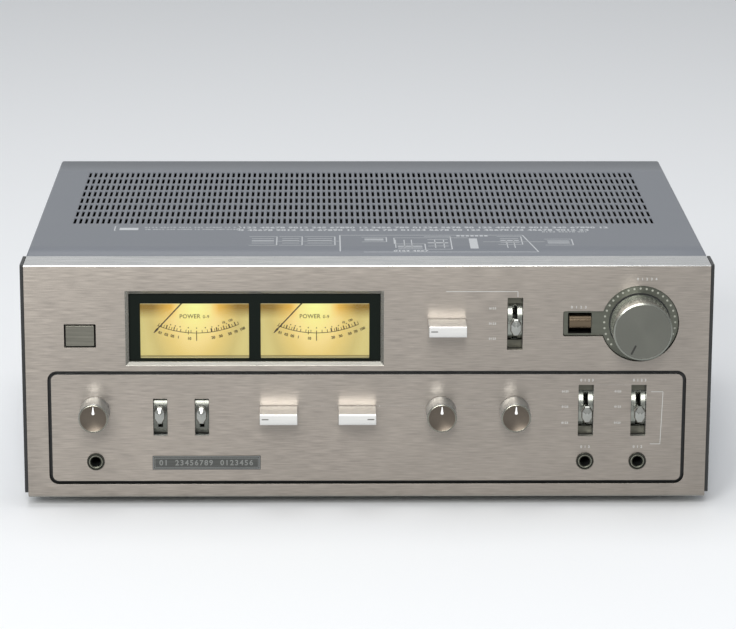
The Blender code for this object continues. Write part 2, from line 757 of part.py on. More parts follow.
def lever_wells(margin=0.0):
    """Outlines of the five lever wells: the one in the main panel first."""
    tall = [(MODE_X, UPPER_ROW), (TAPE_X, LOWER_ROW), (COPY_X, LOWER_ROW)]
    short = [(LOW_FILTER_X, SHORT_WELL_CENTRE), (HIGH_FILTER_X, SHORT_WELL_CENTRE)]
    outlines = []
    for centre in tall:
        outlines.append(rectangle(centre, WELL_WIDTH + margin, WELL_HEIGHT + margin))
    for centre in short:
        outlines.append(rectangle(centre, SHORT_WELL_WIDTH + margin, SHORT_WELL_HEIGHT + margin))
    return outlines


def lower_shaft_holes(radius):
    places = (SPEAKERS_X, BASS_TURNOVER_X, TREBLE_TURNOVER_X, BASS_X, TREBLE_X)
    return [circle((x, LOWER_ROW), radius, HIDDEN_STEPS) for x in places]


def jack_holes(radius):
    places = (SPEAKERS_X, TAPE_X, COPY_X)
    return [circle((x, JACK_HEIGHT), radius, COARSE_STEPS) for x in places]


def power_hole():
    return rectangle((POWER_X, POWER_HEIGHT), POWER_HOLE_WIDTH, POWER_HOLE_HEIGHT)


def front_panel():
    """The aluminium extrusion: a face with a return along its top and its bottom."""
    top = PANEL_HEIGHT
    profile = [
        (PANEL_FOOT_CHAMFER, 0),
        (0, PANEL_FOOT_CHAMFER),
        (0, top - PANEL_CHAMFER),
        (PANEL_CHAMFER, top),
        (RETURN_DEPTH, top),
        (RETURN_DEPTH, top - RETURN_THICKNESS),
        (PANEL_THICKNESS, top - RETURN_THICKNESS),
        (PANEL_THICKNESS, RETURN_THICKNESS),
        (LOWER_RETURN_DEPTH, RETURN_THICKNESS),
        (LOWER_RETURN_DEPTH, 0),
    ]
    section = [(-depth, height) for depth, height in profile]
    panel = outlined("front_panel", [section], PANEL_WIDTH, place(0, 0, 0), ACROSS)
    lower_opening = rectangle(
        (0, LOWER_CENTRE),
        LOWER_WIDTH + 2 * LOWER_GAP,
        LOWER_HEIGHT + 2 * LOWER_GAP,
        LOWER_CORNER + LOWER_GAP,
    )
    meter_opening = rectangle(
        (METER_CENTRE_X, METER_OPENING_CENTRE),
        METER_OPENING_WIDTH - 2 * METER_OPENING_CHAMFER,
        METER_OPENING_HEIGHT - 2 * METER_OPENING_CHAMFER,
    )
    shaft_hole = circle((FUNCTION_X, UPPER_ROW), SHAFT_RADIUS + SHAFT_CLEARANCE, HIDDEN_STEPS)
    openings = [lower_opening, meter_opening, shaft_hole, power_hole(), lever_wells()[0], keyhole(GAP)]
    opened(panel, openings, 0, PANEL_THICKNESS)
    slope = METER_OPENING_CHAMFER
    chamfer = tapered_block(
        "meter_opening_chamfer",
        (METER_OPENING_WIDTH - 2 * slope, METER_OPENING_HEIGHT - 2 * slope),
        (METER_OPENING_WIDTH + 2 * slope, METER_OPENING_HEIGHT + 2 * slope),
        2 * slope,
        place(METER_CENTRE_X, slope, METER_OPENING_CENTRE),
    )
    cut(panel, chamfer)
    return as_piece(panel, "brushed_aluminium")


def lower_panel():
    outline = rectangle((0, LOWER_CENTRE), LOWER_WIDTH, LOWER_HEIGHT, LOWER_CORNER)
    holes = lower_shaft_holes(SHAFT_RADIUS + SHAFT_CLEARANCE) + jack_holes(JACK_NECK_RADIUS + GAP)
    outlines = [outline] + lever_wells()[1:] + holes
    return as_piece(plate("lower_panel", outlines, 0, PANEL_THICKNESS), "brushed_aluminium")


def end_cap(side, name):
    """The black plate that closes one end of the panel's extrusion."""
    top = PANEL_HEIGHT
    low = END_CAP_CHAMFER
    profile = [
        (PANEL_FOOT_CHAMFER, low),
        (PANEL_CHAMFER, low + PANEL_CHAMFER),
        (PANEL_CHAMFER, top - PANEL_CHAMFER),
        (2 * PANEL_CHAMFER, top),
        (RETURN_DEPTH, top),
        (RETURN_DEPTH, low),
    ]
    section = [(-depth, height) for depth, height in profile]
    centre = side * (PANEL_WIDTH / 2 + GAP + END_CAP_THICKNESS / 2)
    cap = outlined(name, [section], END_CAP_THICKNESS, place(centre, 0, 0), ACROSS)
    return as_piece(cap, "black_plastic")


def front_subchassis():
    """The steel plate behind both panels that carries the controls."""
    low = RETURN_THICKNESS + SUBCHASSIS_MARGIN
    high = PANEL_HEIGHT - RETURN_THICKNESS - SUBCHASSIS_MARGIN
    width = PANEL_WIDTH - 2 * SUBCHASSIS_MARGIN
    outline = rectangle((0, (low + high) / 2), width, high - low)
    meters = rectangle(
        (METER_CENTRE_X, METER_FRAME_CENTRE),
        METER_FRAME_WIDTH + 2 * GAP,
        METER_FRAME_TALL + 2 * GAP,
    )
    holes = lower_shaft_holes(BUSHING_RADIUS + GAP) + jack_holes(JACK_NECK_RADIUS + GAP)
    holes.append(circle((FUNCTION_X, UPPER_ROW), BUSHING_RADIUS + GAP, HIDDEN_STEPS))
    outlines = [outline, meters, keyhole(ESCUTCHEON_FLANGE + GAP), power_hole()] + lever_wells() + holes
    piece = plate("front_subchassis", outlines, SUBCHASSIS_FRONT, SUBCHASSIS_THICKNESS)
    return as_piece(piece, "black_steel")


def meter_centres():
    return {
        "left": METER_CENTRE_X - METER_PITCH / 2,
        "right": METER_CENTRE_X + METER_PITCH / 2,
    }


def meter_frame():
    outline = rectangle((METER_CENTRE_X, METER_FRAME_CENTRE), METER_FRAME_WIDTH, METER_FRAME_TALL)
    windows = [
        rectangle((x, WINDOW_CENTRE), WINDOW_WIDTH, WINDOW_HEIGHT) for x in meter_centres().values()
    ]
    frame = plate("meter_frame", [outline] + windows, SUBCHASSIS_FRONT, METER_FRAME_THICKNESS)
    return as_piece(frame, "black_plastic")


def meter_window():
    outline = rectangle((METER_CENTRE_X, METER_FRAME_CENTRE), METER_FRAME_WIDTH, METER_FRAME_TALL)
    return as_piece(plate("meter_window", [outline], PANE_FRONT, PANE_THICKNESS), "clear_pane")


def meter_housing():
    """The light box behind the window, open to the front."""
    width = METER_FRAME_WIDTH + 2 * (GAP + HOUSING_WALL)
    tall = METER_FRAME_TALL + 2 * (GAP + HOUSING_WALL)
    centre = place(METER_CENTRE_X, BEHIND_SUBCHASSIS + HOUSING_DEPTH / 2, METER_FRAME_CENTRE)
    housing = block("meter_housing", (width, HOUSING_DEPTH, tall), centre)
    inside = block(
        "meter_housing_inside",
        (width - 2 * HOUSING_WALL, HOUSING_DEPTH, tall - 2 * HOUSING_WALL),
        centre - Vector((0, HOUSING_WALL, 0)),
    )
    return as_piece(cut(housing, inside), "plated_steel")


def meter_dial(side, x):
    centre = (x, DIAL_BASE + DIAL_HEIGHT / 2)
    outline = rectangle(centre, DIAL_WIDTH, DIAL_HEIGHT)
    hole = circle((x, NEEDLE_PIVOT), NEEDLE_SHAFT_RADIUS + 2 * GAP, PIN_STEPS)
    dial = plate(f"meter_dial_{side}", [outline, hole], DIAL_FRONT, DIAL_THICKNESS)
    return as_piece(dial, "cream_dial")


def meter_needle(side, x):
    """Hub, shaft and pointer, hanging from the pivot and at rest at the scale's low end."""
    hub_depth = DIAL_FRONT - 2 * GAP - NEEDLE_HUB_LENGTH
    origin = place(x, hub_depth, NEEDLE_PIVOT)
    name = f"meter_needle_{side}"
    shaft_end = DIAL_BACK + NEEDLE_SHAFT_DEPTH - hub_depth
    profile = [
        (0, 0),
        (NEEDLE_HUB_RADIUS, 0),
        (NEEDLE_HUB_RADIUS, -NEEDLE_HUB_LENGTH),
        (NEEDLE_SHAFT_RADIUS, -NEEDLE_HUB_LENGTH),
        (NEEDLE_SHAFT_RADIUS, -shaft_end),
        (0, -shaft_end),
    ]
    hub = turned(name, profile, origin, steps=HIDDEN_STEPS)
    direction = Vector((-math.sin(NEEDLE_REST), 0, -math.cos(NEEDLE_REST)))
    middle = origin + direction * (NEEDLE_LENGTH - NEEDLE_TAIL) / 2
    middle.y += NEEDLE_HUB_LENGTH / 2
    pointer = block(
        name + "_pointer",
        (NEEDLE_WIDTH, NEEDLE_THICKNESS, NEEDLE_LENGTH + NEEDLE_TAIL),
        middle,
        Euler((0, NEEDLE_REST, 0)),
    )
    return as_piece(join(hub, pointer), "black_steel")


def meter_movement(side, x):
    """The moving-coil motor behind the dial, with a bore for the needle's shaft."""
    front = DIAL_BACK + GAP
    bore = NEEDLE_SHAFT_RADIUS + GAP
    back = MOVEMENT_DEPTH
    floor = NEEDLE_SHAFT_DEPTH + SHAFT_FLOOR
    profile = [
        (0, -floor),
        (bore, -floor),
        (bore, 0),
        (MOVEMENT_RADIUS, 0),
        (MOVEMENT_RADIUS, -back),
        (0, -back),
    ]
    origin = place(x, front, NEEDLE_PIVOT)
    name = f"meter_movement_{side}"
    movement = turned(name, profile, origin, steps=HIDDEN_STEPS)
    housing_inside = BEHIND_SUBCHASSIS + HOUSING_DEPTH - HOUSING_WALL - GAP
    half = MOVEMENT_STEM / 2
    stem = block_between(
        name + "_stem",
        (x - half, front + floor + SHAFT_FLOOR, NEEDLE_PIVOT - half),
        (x + half, housing_inside, NEEDLE_PIVOT + half),
    )
    return as_piece(join(movement, stem), "grey_metal")


def meter_lamp_board():
    """A strip under the housing's roof with one lamp over each dial."""
    roof = METER_FRAME_HIGH
    front = PANE_BACK + GAP
    half = METER_FRAME_WIDTH / 2 - LAMP_STRIP_MARGIN
    strip = block_between(
        "meter_lamp_board",
        (METER_CENTRE_X - half, front, roof - LAMP_STRIP_THICKNESS),
        (METER_CENTRE_X + half, front + LAMP_STRIP_DEPTH, roof),
    )
    for side, x in meter_centres().items():
        lamp = rod(
            f"meter_lamp_{side}",
            LAMP_RADIUS,
            LAMP_LENGTH,
            place(x, front + LAMP_STRIP_DEPTH / 2, roof - LAMP_STRIP_THICKNESS / 2 - LAMP_LENGTH / 2),
            UPRIGHT,
            PIN_STEPS,
        )
        join(strip, lamp)
    return as_piece(strip, "lamp")


def radial_groove(name, location, angle, inner, outer):
    """The cutter of an index mark in a knob's face, turned clockwise from the top by an angle."""
    middle = (inner + outer) / 2
    offset = Vector((math.sin(angle) * middle, 0, math.cos(angle) * middle))
    size = (INDEX_WIDTH, 2 * INDEX_DEPTH, outer - inner)
    return block(name, size, location + offset, Euler((0, angle, 0)))


def knob(name, x):
    """A small turned knob on its shaft, with its index mark at the top."""
    profile = [
        (0, KNOB_REACH),
        (KNOB_FACE_RADIUS - KNOB_CHAMFER, KNOB_REACH),
        (KNOB_FACE_RADIUS, KNOB_REACH - KNOB_CHAMFER),
        (KNOB_RADIUS, KNOB_STANDOFF + KNOB_SKIRT),
        (KNOB_RADIUS, KNOB_STANDOFF),
        (SHAFT_RADIUS, KNOB_STANDOFF),
        (SHAFT_RADIUS, -SHAFT_DEPTH),
        (0, -SHAFT_DEPTH),
    ]
    piece = turned(name, profile, place(x, 0, LOWER_ROW))
    outer = KNOB_FACE_RADIUS - INDEX_INSET
    groove = radial_groove(name + "_index", place(x, -KNOB_REACH, LOWER_ROW), 0, outer - INDEX_LENGTH, outer)
    return as_piece(cut(piece, groove), "brushed_aluminium")


def bar_knob(name, x, height, mark_side):
    """A bar-shaped knob, lying level, with its index mark towards one end."""
    middle = (BAR_REACH + KNOB_STANDOFF) / 2
    bar = block(
        name,
        (BAR_LENGTH, BAR_THICKNESS, BAR_REACH - KNOB_STANDOFF),
        place(x, -middle, height),
        OUT_OF_FRONT,
    )
    bevel(bar, BAR_CHAMFER)
    profile = [
        (0, KNOB_STANDOFF + OVERRUN),
        (SHAFT_RADIUS, KNOB_STANDOFF + OVERRUN),
        (SHAFT_RADIUS, -SHAFT_DEPTH),
        (0, -SHAFT_DEPTH),
    ]
    join(bar, turned(name + "_shaft", profile, place(x, 0, height)))
    outer = BAR_LENGTH / 2 - INDEX_INSET
    groove = radial_groove(
        name + "_index",
        place(x, -BAR_REACH, height),
        mark_side * math.pi / 2,
        outer - INDEX_LENGTH,
        outer,
    )
    return as_piece(cut(bar, groove), "silver_bar")


def control_profile(radius, depth):
    """A rotary control: a bushing through the panel, a body behind, and a blind bore for a shaft."""
    bore = SHAFT_RADIUS + GAP
    floor = SHAFT_DEPTH + SHAFT_FLOOR
    body = BEHIND_SUBCHASSIS
    return [
        (0, -floor),
        (bore, -floor),
        (bore, -SUBCHASSIS_FRONT),
        (BUSHING_RADIUS, -SUBCHASSIS_FRONT),
        (BUSHING_RADIUS, -body),
        (radius, -body),
        (radius, -body - depth),
        (0, -body - depth),
    ]


def wafer_switch(name, x, height, depth, wafers):
    """A rotary switch whose wafers show as grooves round its body."""
    profile = control_profile(SELECTOR_RADIUS, depth)
    body = BEHIND_SUBCHASSIS
    grooves = []
    inner = SELECTOR_RADIUS - WAFER_GROOVE_DEPTH
    for wafer in range(wafers):
        level = -body - depth * (wafer + 1) / (wafers + 1)
        grooves += [
            (SELECTOR_RADIUS, level + WAFER_GROOVE_WIDTH / 2),
            (inner, level + WAFER_GROOVE_WIDTH / 2),
            (inner, level - WAFER_GROOVE_WIDTH / 2),
            (SELECTOR_RADIUS, level - WAFER_GROOVE_WIDTH / 2),
        ]
    profile[-2:-2] = grooves
    return as_piece(turned(name, profile, place(x, 0, height), steps=HIDDEN_STEPS), "plated_steel")


def tone_board():
    """The circuit board with the two tone controls and their two turnover switches on it."""
    places = (BASS_TURNOVER_X, TREBLE_TURNOVER_X, BASS_X, TREBLE_X)
    front = BEHIND_SUBCHASSIS + TONE_CONTROL_DEPTH - OVERRUN / 2
    board = block_between(
        "tone_board",
        (places[0] - TONE_BOARD_MARGIN, front, LOWER_ROW - TONE_BOARD_HEIGHT / 2),
        (places[-1] + TONE_BOARD_MARGIN, front + TONE_BOARD_THICKNESS, LOWER_ROW + TONE_BOARD_HEIGHT / 2),
    )
    profile = control_profile(TONE_CONTROL_RADIUS, TONE_CONTROL_DEPTH)
    for index, x in enumerate(places):
        name = f"tone_control_{index}"
        join(board, turned(name, profile, place(x, 0, LOWER_ROW), steps=HIDDEN_STEPS))
    return as_piece(board, "circuit_board")


def volume_escutcheon():
    """The sunk keyhole-shaped plate round the volume knob, held behind the panel by its flange."""
    floor = plate("volume_escutcheon", [keyhole(0)], DISH_DEPTH, SUBCHASSIS_FRONT - DISH_DEPTH + OVERRUN / 2)
    flange = plate(
        "volume_escutcheon_flange",
        [keyhole(ESCUTCHEON_FLANGE)],
        SUBCHASSIS_FRONT,
        ESCUTCHEON_FLANGE_THICKNESS,
    )
    join(floor, flange)
    paddle_hole = rectangle(
        (PADDLE_X, UPPER_ROW), PADDLE_WIDTH + 2 * PADDLE_SIDE_GAP, PADDLE_HOLE_HEIGHT
    )
    bushing = circle((VOLUME_X, UPPER_ROW), BUSHING_RADIUS + GAP, HIDDEN_STEPS)
    opened(floor, [paddle_hole, bushing], DISH_DEPTH, SUBCHASSIS_BACK - DISH_DEPTH)
    return as_piece(floor, "grey_metal")


def volume_knob():
    """The large knob, its index mark at the low end of its travel."""
    rim = VOLUME_FACE_RADIUS - VOLUME_CHAMFER
    base = VOLUME_STANDOFF - DISH_DEPTH
    profile = [
        (0, VOLUME_REACH - VOLUME_FACE_RECESS),
        (rim - VOLUME_FACE_RECESS, VOLUME_REACH - VOLUME_FACE_RECESS),
        (rim, VOLUME_REACH),
        (VOLUME_FACE_RADIUS, VOLUME_REACH - VOLUME_CHAMFER),
        (VOLUME_RADIUS, base + VOLUME_SKIRT),
        (VOLUME_RADIUS, base),
        (SHAFT_RADIUS, base),
        (SHAFT_RADIUS, -SHAFT_DEPTH),
        (0, -SHAFT_DEPTH),
    ]
    piece = turned("volume_knob", profile, place(VOLUME_X, 0, UPPER_ROW), steps=FINE_STEPS)
    face = place(VOLUME_X, VOLUME_FACE_RECESS - VOLUME_REACH, UPPER_ROW)
    outer = rim - INDEX_INSET
    groove = radial_groove("volume_knob_index", face, VOLUME_START, outer - VOLUME_INDEX_LENGTH, outer)
    return as_piece(cut(piece, groove), "polished_metal")


def volume_control():
    profile = control_profile(VOLUME_CONTROL_RADIUS, VOLUME_CONTROL_DEPTH)
    piece = turned("volume_control", profile, place(VOLUME_X, 0, UPPER_ROW), steps=HIDDEN_STEPS)
    return as_piece(piece, "plated_steel")


def pivot_pin(name, x, depth, height, width):
    """A pin across a switch, short enough to end inside both of its cheeks."""
    return rod(name, PIVOT_PIN_RADIUS, width, place(x, depth, height), ACROSS, PIN_STEPS)


def muting_paddle():
    """The rounded paddle, its arm running back to a pivot pin."""
    front = PADDLE_PIVOT + PADDLE_REACH
    top = PADDLE_RISE + PADDLE_HEIGHT / 2
    bottom = PADDLE_RISE - PADDLE_HEIGHT / 2
    neck = front - PADDLE_NECK
    rounding = PADDLE_ROUNDING
    outline = [(neck, bottom)]
    outline += arc((front - rounding, bottom + rounding), rounding, -math.pi / 2, 0, PADDLE_STEPS)
    outline += arc((front - rounding, top - rounding), rounding, 0, math.pi / 2, PADDLE_STEPS)
    outline += [(neck, top), (neck - top + PADDLE_ARM / 2, PADDLE_ARM / 2)]
    turn = math.asin(PADDLE_ARM / 2 / LEVER_HUB_RADIUS)
    outline += arc((0, 0), LEVER_HUB_RADIUS, turn, math.tau - turn, PIN_STEPS)
    outline += [(neck + bottom + PADDLE_ARM / 2, -PADDLE_ARM / 2)]
    hole = circle((0, 0), PIVOT_HOLE_RADIUS, PIN_STEPS)
    origin = place(PADDLE_X, PADDLE_PIVOT, UPPER_ROW)
    piece = outlined("muting_paddle", [outline, hole], PADDLE_WIDTH, origin, ACROSS)
    return as_piece(piece, "brown_steel")


def muting_switch():
    """The housing behind the escutcheon, open to the front, with the paddle's pivot pin across it."""
    inside_width = PADDLE_WIDTH + 2 * PADDLE_SIDE_GAP
    width = inside_width + 2 * PADDLE_HOUSING_WALL
    tall = PADDLE_HOLE_HEIGHT + 2 * PADDLE_HOUSING_WALL
    back = PADDLE_PIVOT + PADDLE_HOUSING_BACK
    length = back - BEHIND_SUBCHASSIS
    centre = place(PADDLE_X, BEHIND_SUBCHASSIS + length / 2, UPPER_ROW)
    housing = block("muting_switch", (width, length, tall), centre)
    inside = block(
        "muting_switch_inside",
        (inside_width, length, PADDLE_HOLE_HEIGHT),
        centre - Vector((0, PADDLE_HOUSING_WALL, 0)),
    )
    cut(housing, inside)
    pin_length = inside_width + PADDLE_HOUSING_WALL
    join(housing, pivot_pin("muting_pin", PADDLE_X, PADDLE_PIVOT, UPPER_ROW, pin_length))
    return as_piece(housing, "black_plastic")


def lever_head(name, location, rotation):
    """A faceted bat handle, with flats above, below and at its sides, taller than it is wide."""
    half_angle = math.pi / LEVER_FACETS
    corner = LEVER_HEAD_WIDTH / 2 / math.cos(half_angle)
    profile = [(0, LEVER_HEAD_LENGTH)]
    profile += [(corner * width, LEVER_HEAD_LENGTH * along) for width, along in LEVER_HEAD_SHARES]
    profile.append((0, 0))
    head = turned(name, profile, location, rotation, steps=LEVER_FACETS)
    stretch = Matrix.Diagonal((1, LEVER_HEAD_HEIGHT / LEVER_HEAD_WIDTH, 1, 1))
    head.data.transform(stretch @ Matrix.Rotation(half_angle, 4, "Z"))
    return head


def switch_lever(name, x, height, tilt):
    """A toggle lever on its pivot, tilted up by an angle."""
    half = LEVER_ARM_HEIGHT / 2
    neck = BARREL_RADIUS + LEVER_NECK_CLEARANCE
    turn = math.asin(half / LEVER_HUB_RADIUS)
    outline = [(neck + OVERRUN, -half), (neck + OVERRUN, half)]
    outline += arc((0, 0), LEVER_HUB_RADIUS, turn, math.tau - turn, PIN_STEPS)
    hole = circle((0, 0), PIVOT_HOLE_RADIUS, PIN_STEPS)
    origin = place(x, LEVER_PIVOT, height)
    up = Matrix.Rotation(-tilt, 3, "X")
    lever = outlined(name, [outline, hole], LEVER_ARM_WIDTH, origin, (up @ ACROSS.to_matrix()).to_euler())
    outwards = up @ OUT_OF_FRONT.to_matrix()
    head = lever_head(name + "_head", origin + outwards @ Vector((0, 0, neck)), outwards.to_euler())
    return as_piece(join(lever, head), "polished_metal")


def lever_switch(name, x, height, well_width, well_height, swing):
    """The switch in a lever well: a round polished front, a slot for the lever and a pivot pin."""
    width = well_width - 2 * GAP
    half = well_height / 2 - GAP
    edge = math.asin(half / BARREL_RADIUS)
    outline = arc((0, 0), BARREL_RADIUS, -edge, edge, PIN_STEPS)
    outline += [(-SWITCH_BACK, half), (-SWITCH_BACK, -half)]
    origin = place(x, LEVER_PIVOT, height)
    switch = outlined(name, [outline], width, origin, ACROSS)
    flange = block_between(
        name + "_flange",
        (x - width / 2 - SWITCH_FLANGE, BEHIND_SUBCHASSIS, height - half - SWITCH_FLANGE),
        (
            x + width / 2 + SWITCH_FLANGE,
            BEHIND_SUBCHASSIS + SWITCH_FLANGE_THICKNESS,
            height + half + SWITCH_FLANGE,
        ),
    )
    join(switch, flange)
    reach = BARREL_RADIUS * math.sin(swing) + LEVER_ARM_HEIGHT / 2 + LEVER_SLOT_MARGIN
    behind = LEVER_HUB_RADIUS + LEVER_HUB_CLEARANCE
    slot = block_between(
        name + "_slot",
        (x - LEVER_SLOT_WIDTH / 2, -OVERRUN, height - reach),
        (x + LEVER_SLOT_WIDTH / 2, LEVER_PIVOT + behind, height + reach),
    )
    cut(switch, slot)
    pin_length = (LEVER_SLOT_WIDTH + width) / 2
    join(switch, pivot_pin(name + "_pin", x, LEVER_PIVOT, height, pin_length))
    return as_piece(switch, "polished_metal")


def power_button():
    """The push button, level with the panel's face when it is in."""
    width = POWER_HOLE_WIDTH - 2 * POWER_SIDE_GAP
    height = POWER_HOLE_HEIGHT - 2 * POWER_SIDE_GAP
    cap = block(
        "power_button",
        (width, height, POWER_CAP_DEPTH),
        place(POWER_X, POWER_CAP_DEPTH / 2, POWER_HEIGHT),
        OUT_OF_FRONT,
    )
    bevel(cap, POWER_CAP_CHAMFER)
    half = POWER_STEM / 2
    stem = block_between(
        "power_button_stem",
        (POWER_X - half, POWER_CAP_DEPTH - OVERRUN, POWER_HEIGHT - half),
        (POWER_X + half, POWER_CAP_DEPTH + POWER_STEM_DEPTH, POWER_HEIGHT + half),
    )
    return as_piece(join(cap, stem), "grey_metal")


def power_switch():
    """The switch body, with a pocket for the button and a square bore for its stem."""
    wall = POWER_SWITCH_WALL
    half_width = POWER_HOLE_WIDTH / 2
    half_height = POWER_HOLE_HEIGHT / 2
    front = BEHIND_SUBCHASSIS
    body = block_between(
        "power_switch",
        (POWER_X - half_width - wall, front, POWER_HEIGHT - half_height - wall),
        (POWER_X + half_width + wall, front + POWER_SWITCH_DEPTH, POWER_HEIGHT + half_height + wall),
    )
    pocket = block_between(
        "power_switch_pocket",
        (POWER_X - half_width, front - OVERRUN, POWER_HEIGHT - half_height),
        (POWER_X + half_width, POWER_CAP_DEPTH + POWER_POCKET_FLOOR, POWER_HEIGHT + half_height),
    )
    half = POWER_STEM / 2 + GAP
    bore = block_between(
        "power_switch_bore",
        (POWER_X - half, front, POWER_HEIGHT - half),
        (POWER_X + half, POWER_CAP_DEPTH + POWER_STEM_DEPTH + POWER_POCKET_FLOOR, POWER_HEIGHT + half),
    )
    return as_piece(cut(cut(body, pocket), bore), "black_plastic")


def phone_jack(name, x):
    """A jack for a 6.35 mm plug: a ring on the panel, a neck through it and a body behind."""
    ring = GAP + JACK_RING_THICKNESS
    body = BEHIND_SUBCHASSIS
    back = JACK_BORE_DEPTH + JACK_BODY_BACK
    profile = [
        (0, -JACK_BORE_DEPTH),
        (JACK_BORE_RADIUS, -JACK_BORE_DEPTH),
        (JACK_BORE_RADIUS, ring),
        (JACK_RING_RADIUS - JACK_RING_CHAMFER, ring),
        (JACK_RING_RADIUS, ring - JACK_RING_CHAMFER),
        (JACK_RING_RADIUS, GAP),
        (JACK_NECK_RADIUS, GAP),
        (JACK_NECK_RADIUS, -body),
        (JACK_BODY_RADIUS, -body),
        (JACK_BODY_RADIUS, -back),
        (0, -back),
    ]
    jack = turned(name, profile, place(x, 0, JACK_HEIGHT), steps=COARSE_STEPS)
    return as_piece(jack, "black_plastic")


def open_box(name, size, location, open_sides, sheet=SHEET):
    """A sheet-metal box without the faces whose directions are given, its outside at that size."""
    built = bmesh.new()
    bmesh.ops.create_cube(built, size=1.0)
    bmesh.ops.scale(built, vec=size, verts=built.verts)
    built.normal_update()
    dropped = [
        face for face in built.faces if any(face.normal.dot(Vector(side)) > 0 for side in open_sides)
    ]
    bmesh.ops.delete(built, geom=dropped, context="FACES")
    mesh = bpy.data.meshes.new(name)
    built.to_mesh(mesh)
    built.free()
    item = new_object(name, mesh, location)
    bevel(item, SHEET_BEND, 2)
    thickness = item.modifiers.new("sheet", "SOLIDIFY")
    thickness.thickness = sheet
    thickness.offset = -1
    thickness.use_even_offset = True
    return item


def top_cover():
    """The folded cover, pierced over the warm parts by rows of slots."""
    low = CHASSIS_LIFT
    length = BODY_DEPTH - COVER_FRONT
    cover = open_box(
        "top_cover",
        Vector((COVER_WIDTH, length, COVER_TOP - low)),
        place(0, COVER_FRONT + length / 2, (COVER_TOP + low) / 2),
        ((0, -1, 0), (0, 1, 0), (0, 0, -1)),
    )
    slot_length = (GRILLE_DEPTH - (GRILLE_ROWS - 1) * GRILLE_ROW_BAR) / GRILLE_ROWS
    column_pitch = (GRILLE_WIDTH - GRILLE_SLOT_WIDTH) / (GRILLE_COLUMNS - 1)
    slots = block_grid(
        "grille_slots",
        (GRILLE_SLOT_WIDTH, slot_length, SHEET + 2 * OVERRUN),
        GRILLE_COLUMNS,
        column_pitch,
        GRILLE_ROWS,
        slot_length + GRILLE_ROW_BAR,
        place(0, GRILLE_FRONT + GRILLE_DEPTH / 2, COVER_TOP - SHEET / 2),
    )
    return as_piece(cut(cover, slots), "painted_steel")


def chassis():
    """The tray under everything, with vents below the warm parts."""
    front = BEHIND_SUBCHASSIS
    back = REAR_INSIDE - GAP
    tray = open_box(
        "chassis",
        Vector((INNER_WIDTH, back - front, CHASSIS_WALL)),
        place(0, (front + back) / 2, CHASSIS_LIFT + CHASSIS_WALL / 2),
        ((0, -1, 0), (0, 1, 0), (0, 0, 1)),
    )
    vents = block_grid(
        "chassis_vents",
        (VENT_WIDTH, VENT_LENGTH, SHEET + 2 * OVERRUN),
        VENT_COLUMNS,
        VENT_PITCH,
        VENT_ROWS,
        VENT_ROW_PITCH,
        place(0, VENT_DEPTH, CHASSIS_LIFT + SHEET / 2),
    )
    return as_piece(cut(tray, vents), "plated_steel")


def input_window():
    width = (INPUT_COLUMNS - 1) * INPUT_PITCH + 2 * INPUT_MARGIN
    tall = (INPUT_ROWS - 1) * INPUT_ROW_PITCH + 2 * INPUT_MARGIN
    return width, tall


def outlet_window():
    return (OUTLET_COUNT - 1) * OUTLET_PITCH + OUTLET_PITCH, OUTLET_FACE_HEIGHT


def rear_panel():
    low = CHASSIS_LIFT
    high = COVER_TOP - SHEET - GAP
    outline = rectangle((0, (low + high) / 2), INNER_WIDTH, high - low)
    inputs = rectangle((INPUTS_X, INPUTS_HEIGHT), *input_window())
    width, tall = outlet_window()
    outlets = rectangle((OUTLETS_X, OUTLETS_HEIGHT), width + 2 * GAP, tall + 2 * GAP)
    gland = circle((GLAND_X, GLAND_HEIGHT), GLAND_NECK_RADIUS + GAP, COARSE_STEPS)
    panel = plate("rear_panel", [outline, inputs, outlets, gland], REAR_INSIDE, SHEET)
    return as_piece(panel, "black_steel")


def input_terminals():
    """The insulating plate inside the rear panel with its rows of pin jacks."""
    width, tall = input_window()
    thickness = INPUT_PLATE_THICKNESS
    front = REAR_INSIDE - GAP - thickness
    outline = rectangle((INPUTS_X, INPUTS_HEIGHT), width + 2 * INPUT_OVERLAP, tall + 2 * INPUT_OVERLAP)
    strip = plate("input_terminals", [outline], front, thickness)
    reach = REAR_FACE + PIN_JACK_REACH
    length = reach - front - thickness / 2
    grid = (INPUT_COLUMNS, INPUT_PITCH, INPUT_ROWS, INPUT_ROW_PITCH)
    jacks = rod_grid(
        "pin_jacks",
        PIN_JACK_RADIUS,
        length,
        *grid,
        place(INPUTS_X, reach - length / 2, INPUTS_HEIGHT),
        OUT_OF_BACK,
        PIN_STEPS,
    )
    bores = rod_grid(
        "pin_jack_bores",
        PIN_JACK_BORE,
        length,
        *grid,
        place(INPUTS_X, reach - length / 2 + thickness, INPUTS_HEIGHT),
        OUT_OF_BACK,
        PIN_BORE_STEPS,
    )
    join(strip, jacks)
    return as_piece(cut(strip, bores), "black_plastic")


def speaker_terminals():
    """The moulded strip on the rear panel with its screw terminals."""
    front = REAR_FACE + GAP
    strip = block(
        "speaker_terminals",
        (SPEAKER_STRIP_WIDTH, SPEAKER_STRIP_REACH, SPEAKER_STRIP_TALL),
        place(SPEAKER_STRIP_X, front + SPEAKER_STRIP_REACH / 2, SPEAKER_STRIP_HEIGHT),
    )
    length = TERMINAL_REACH + SPEAKER_STRIP_REACH / 2
    screws = rod_grid(
        "terminal_screws",
        TERMINAL_RADIUS,
        length,
        SPEAKER_COLUMNS,
        SPEAKER_PITCH,
        SPEAKER_ROWS,
        SPEAKER_ROW_PITCH,
        place(SPEAKER_STRIP_X, REAR_FACE + TERMINAL_OUT - length / 2, SPEAKER_STRIP_HEIGHT),
        OUT_OF_BACK,
        PIN_STEPS,
    )
    return as_piece(join(strip, screws), "black_plastic")


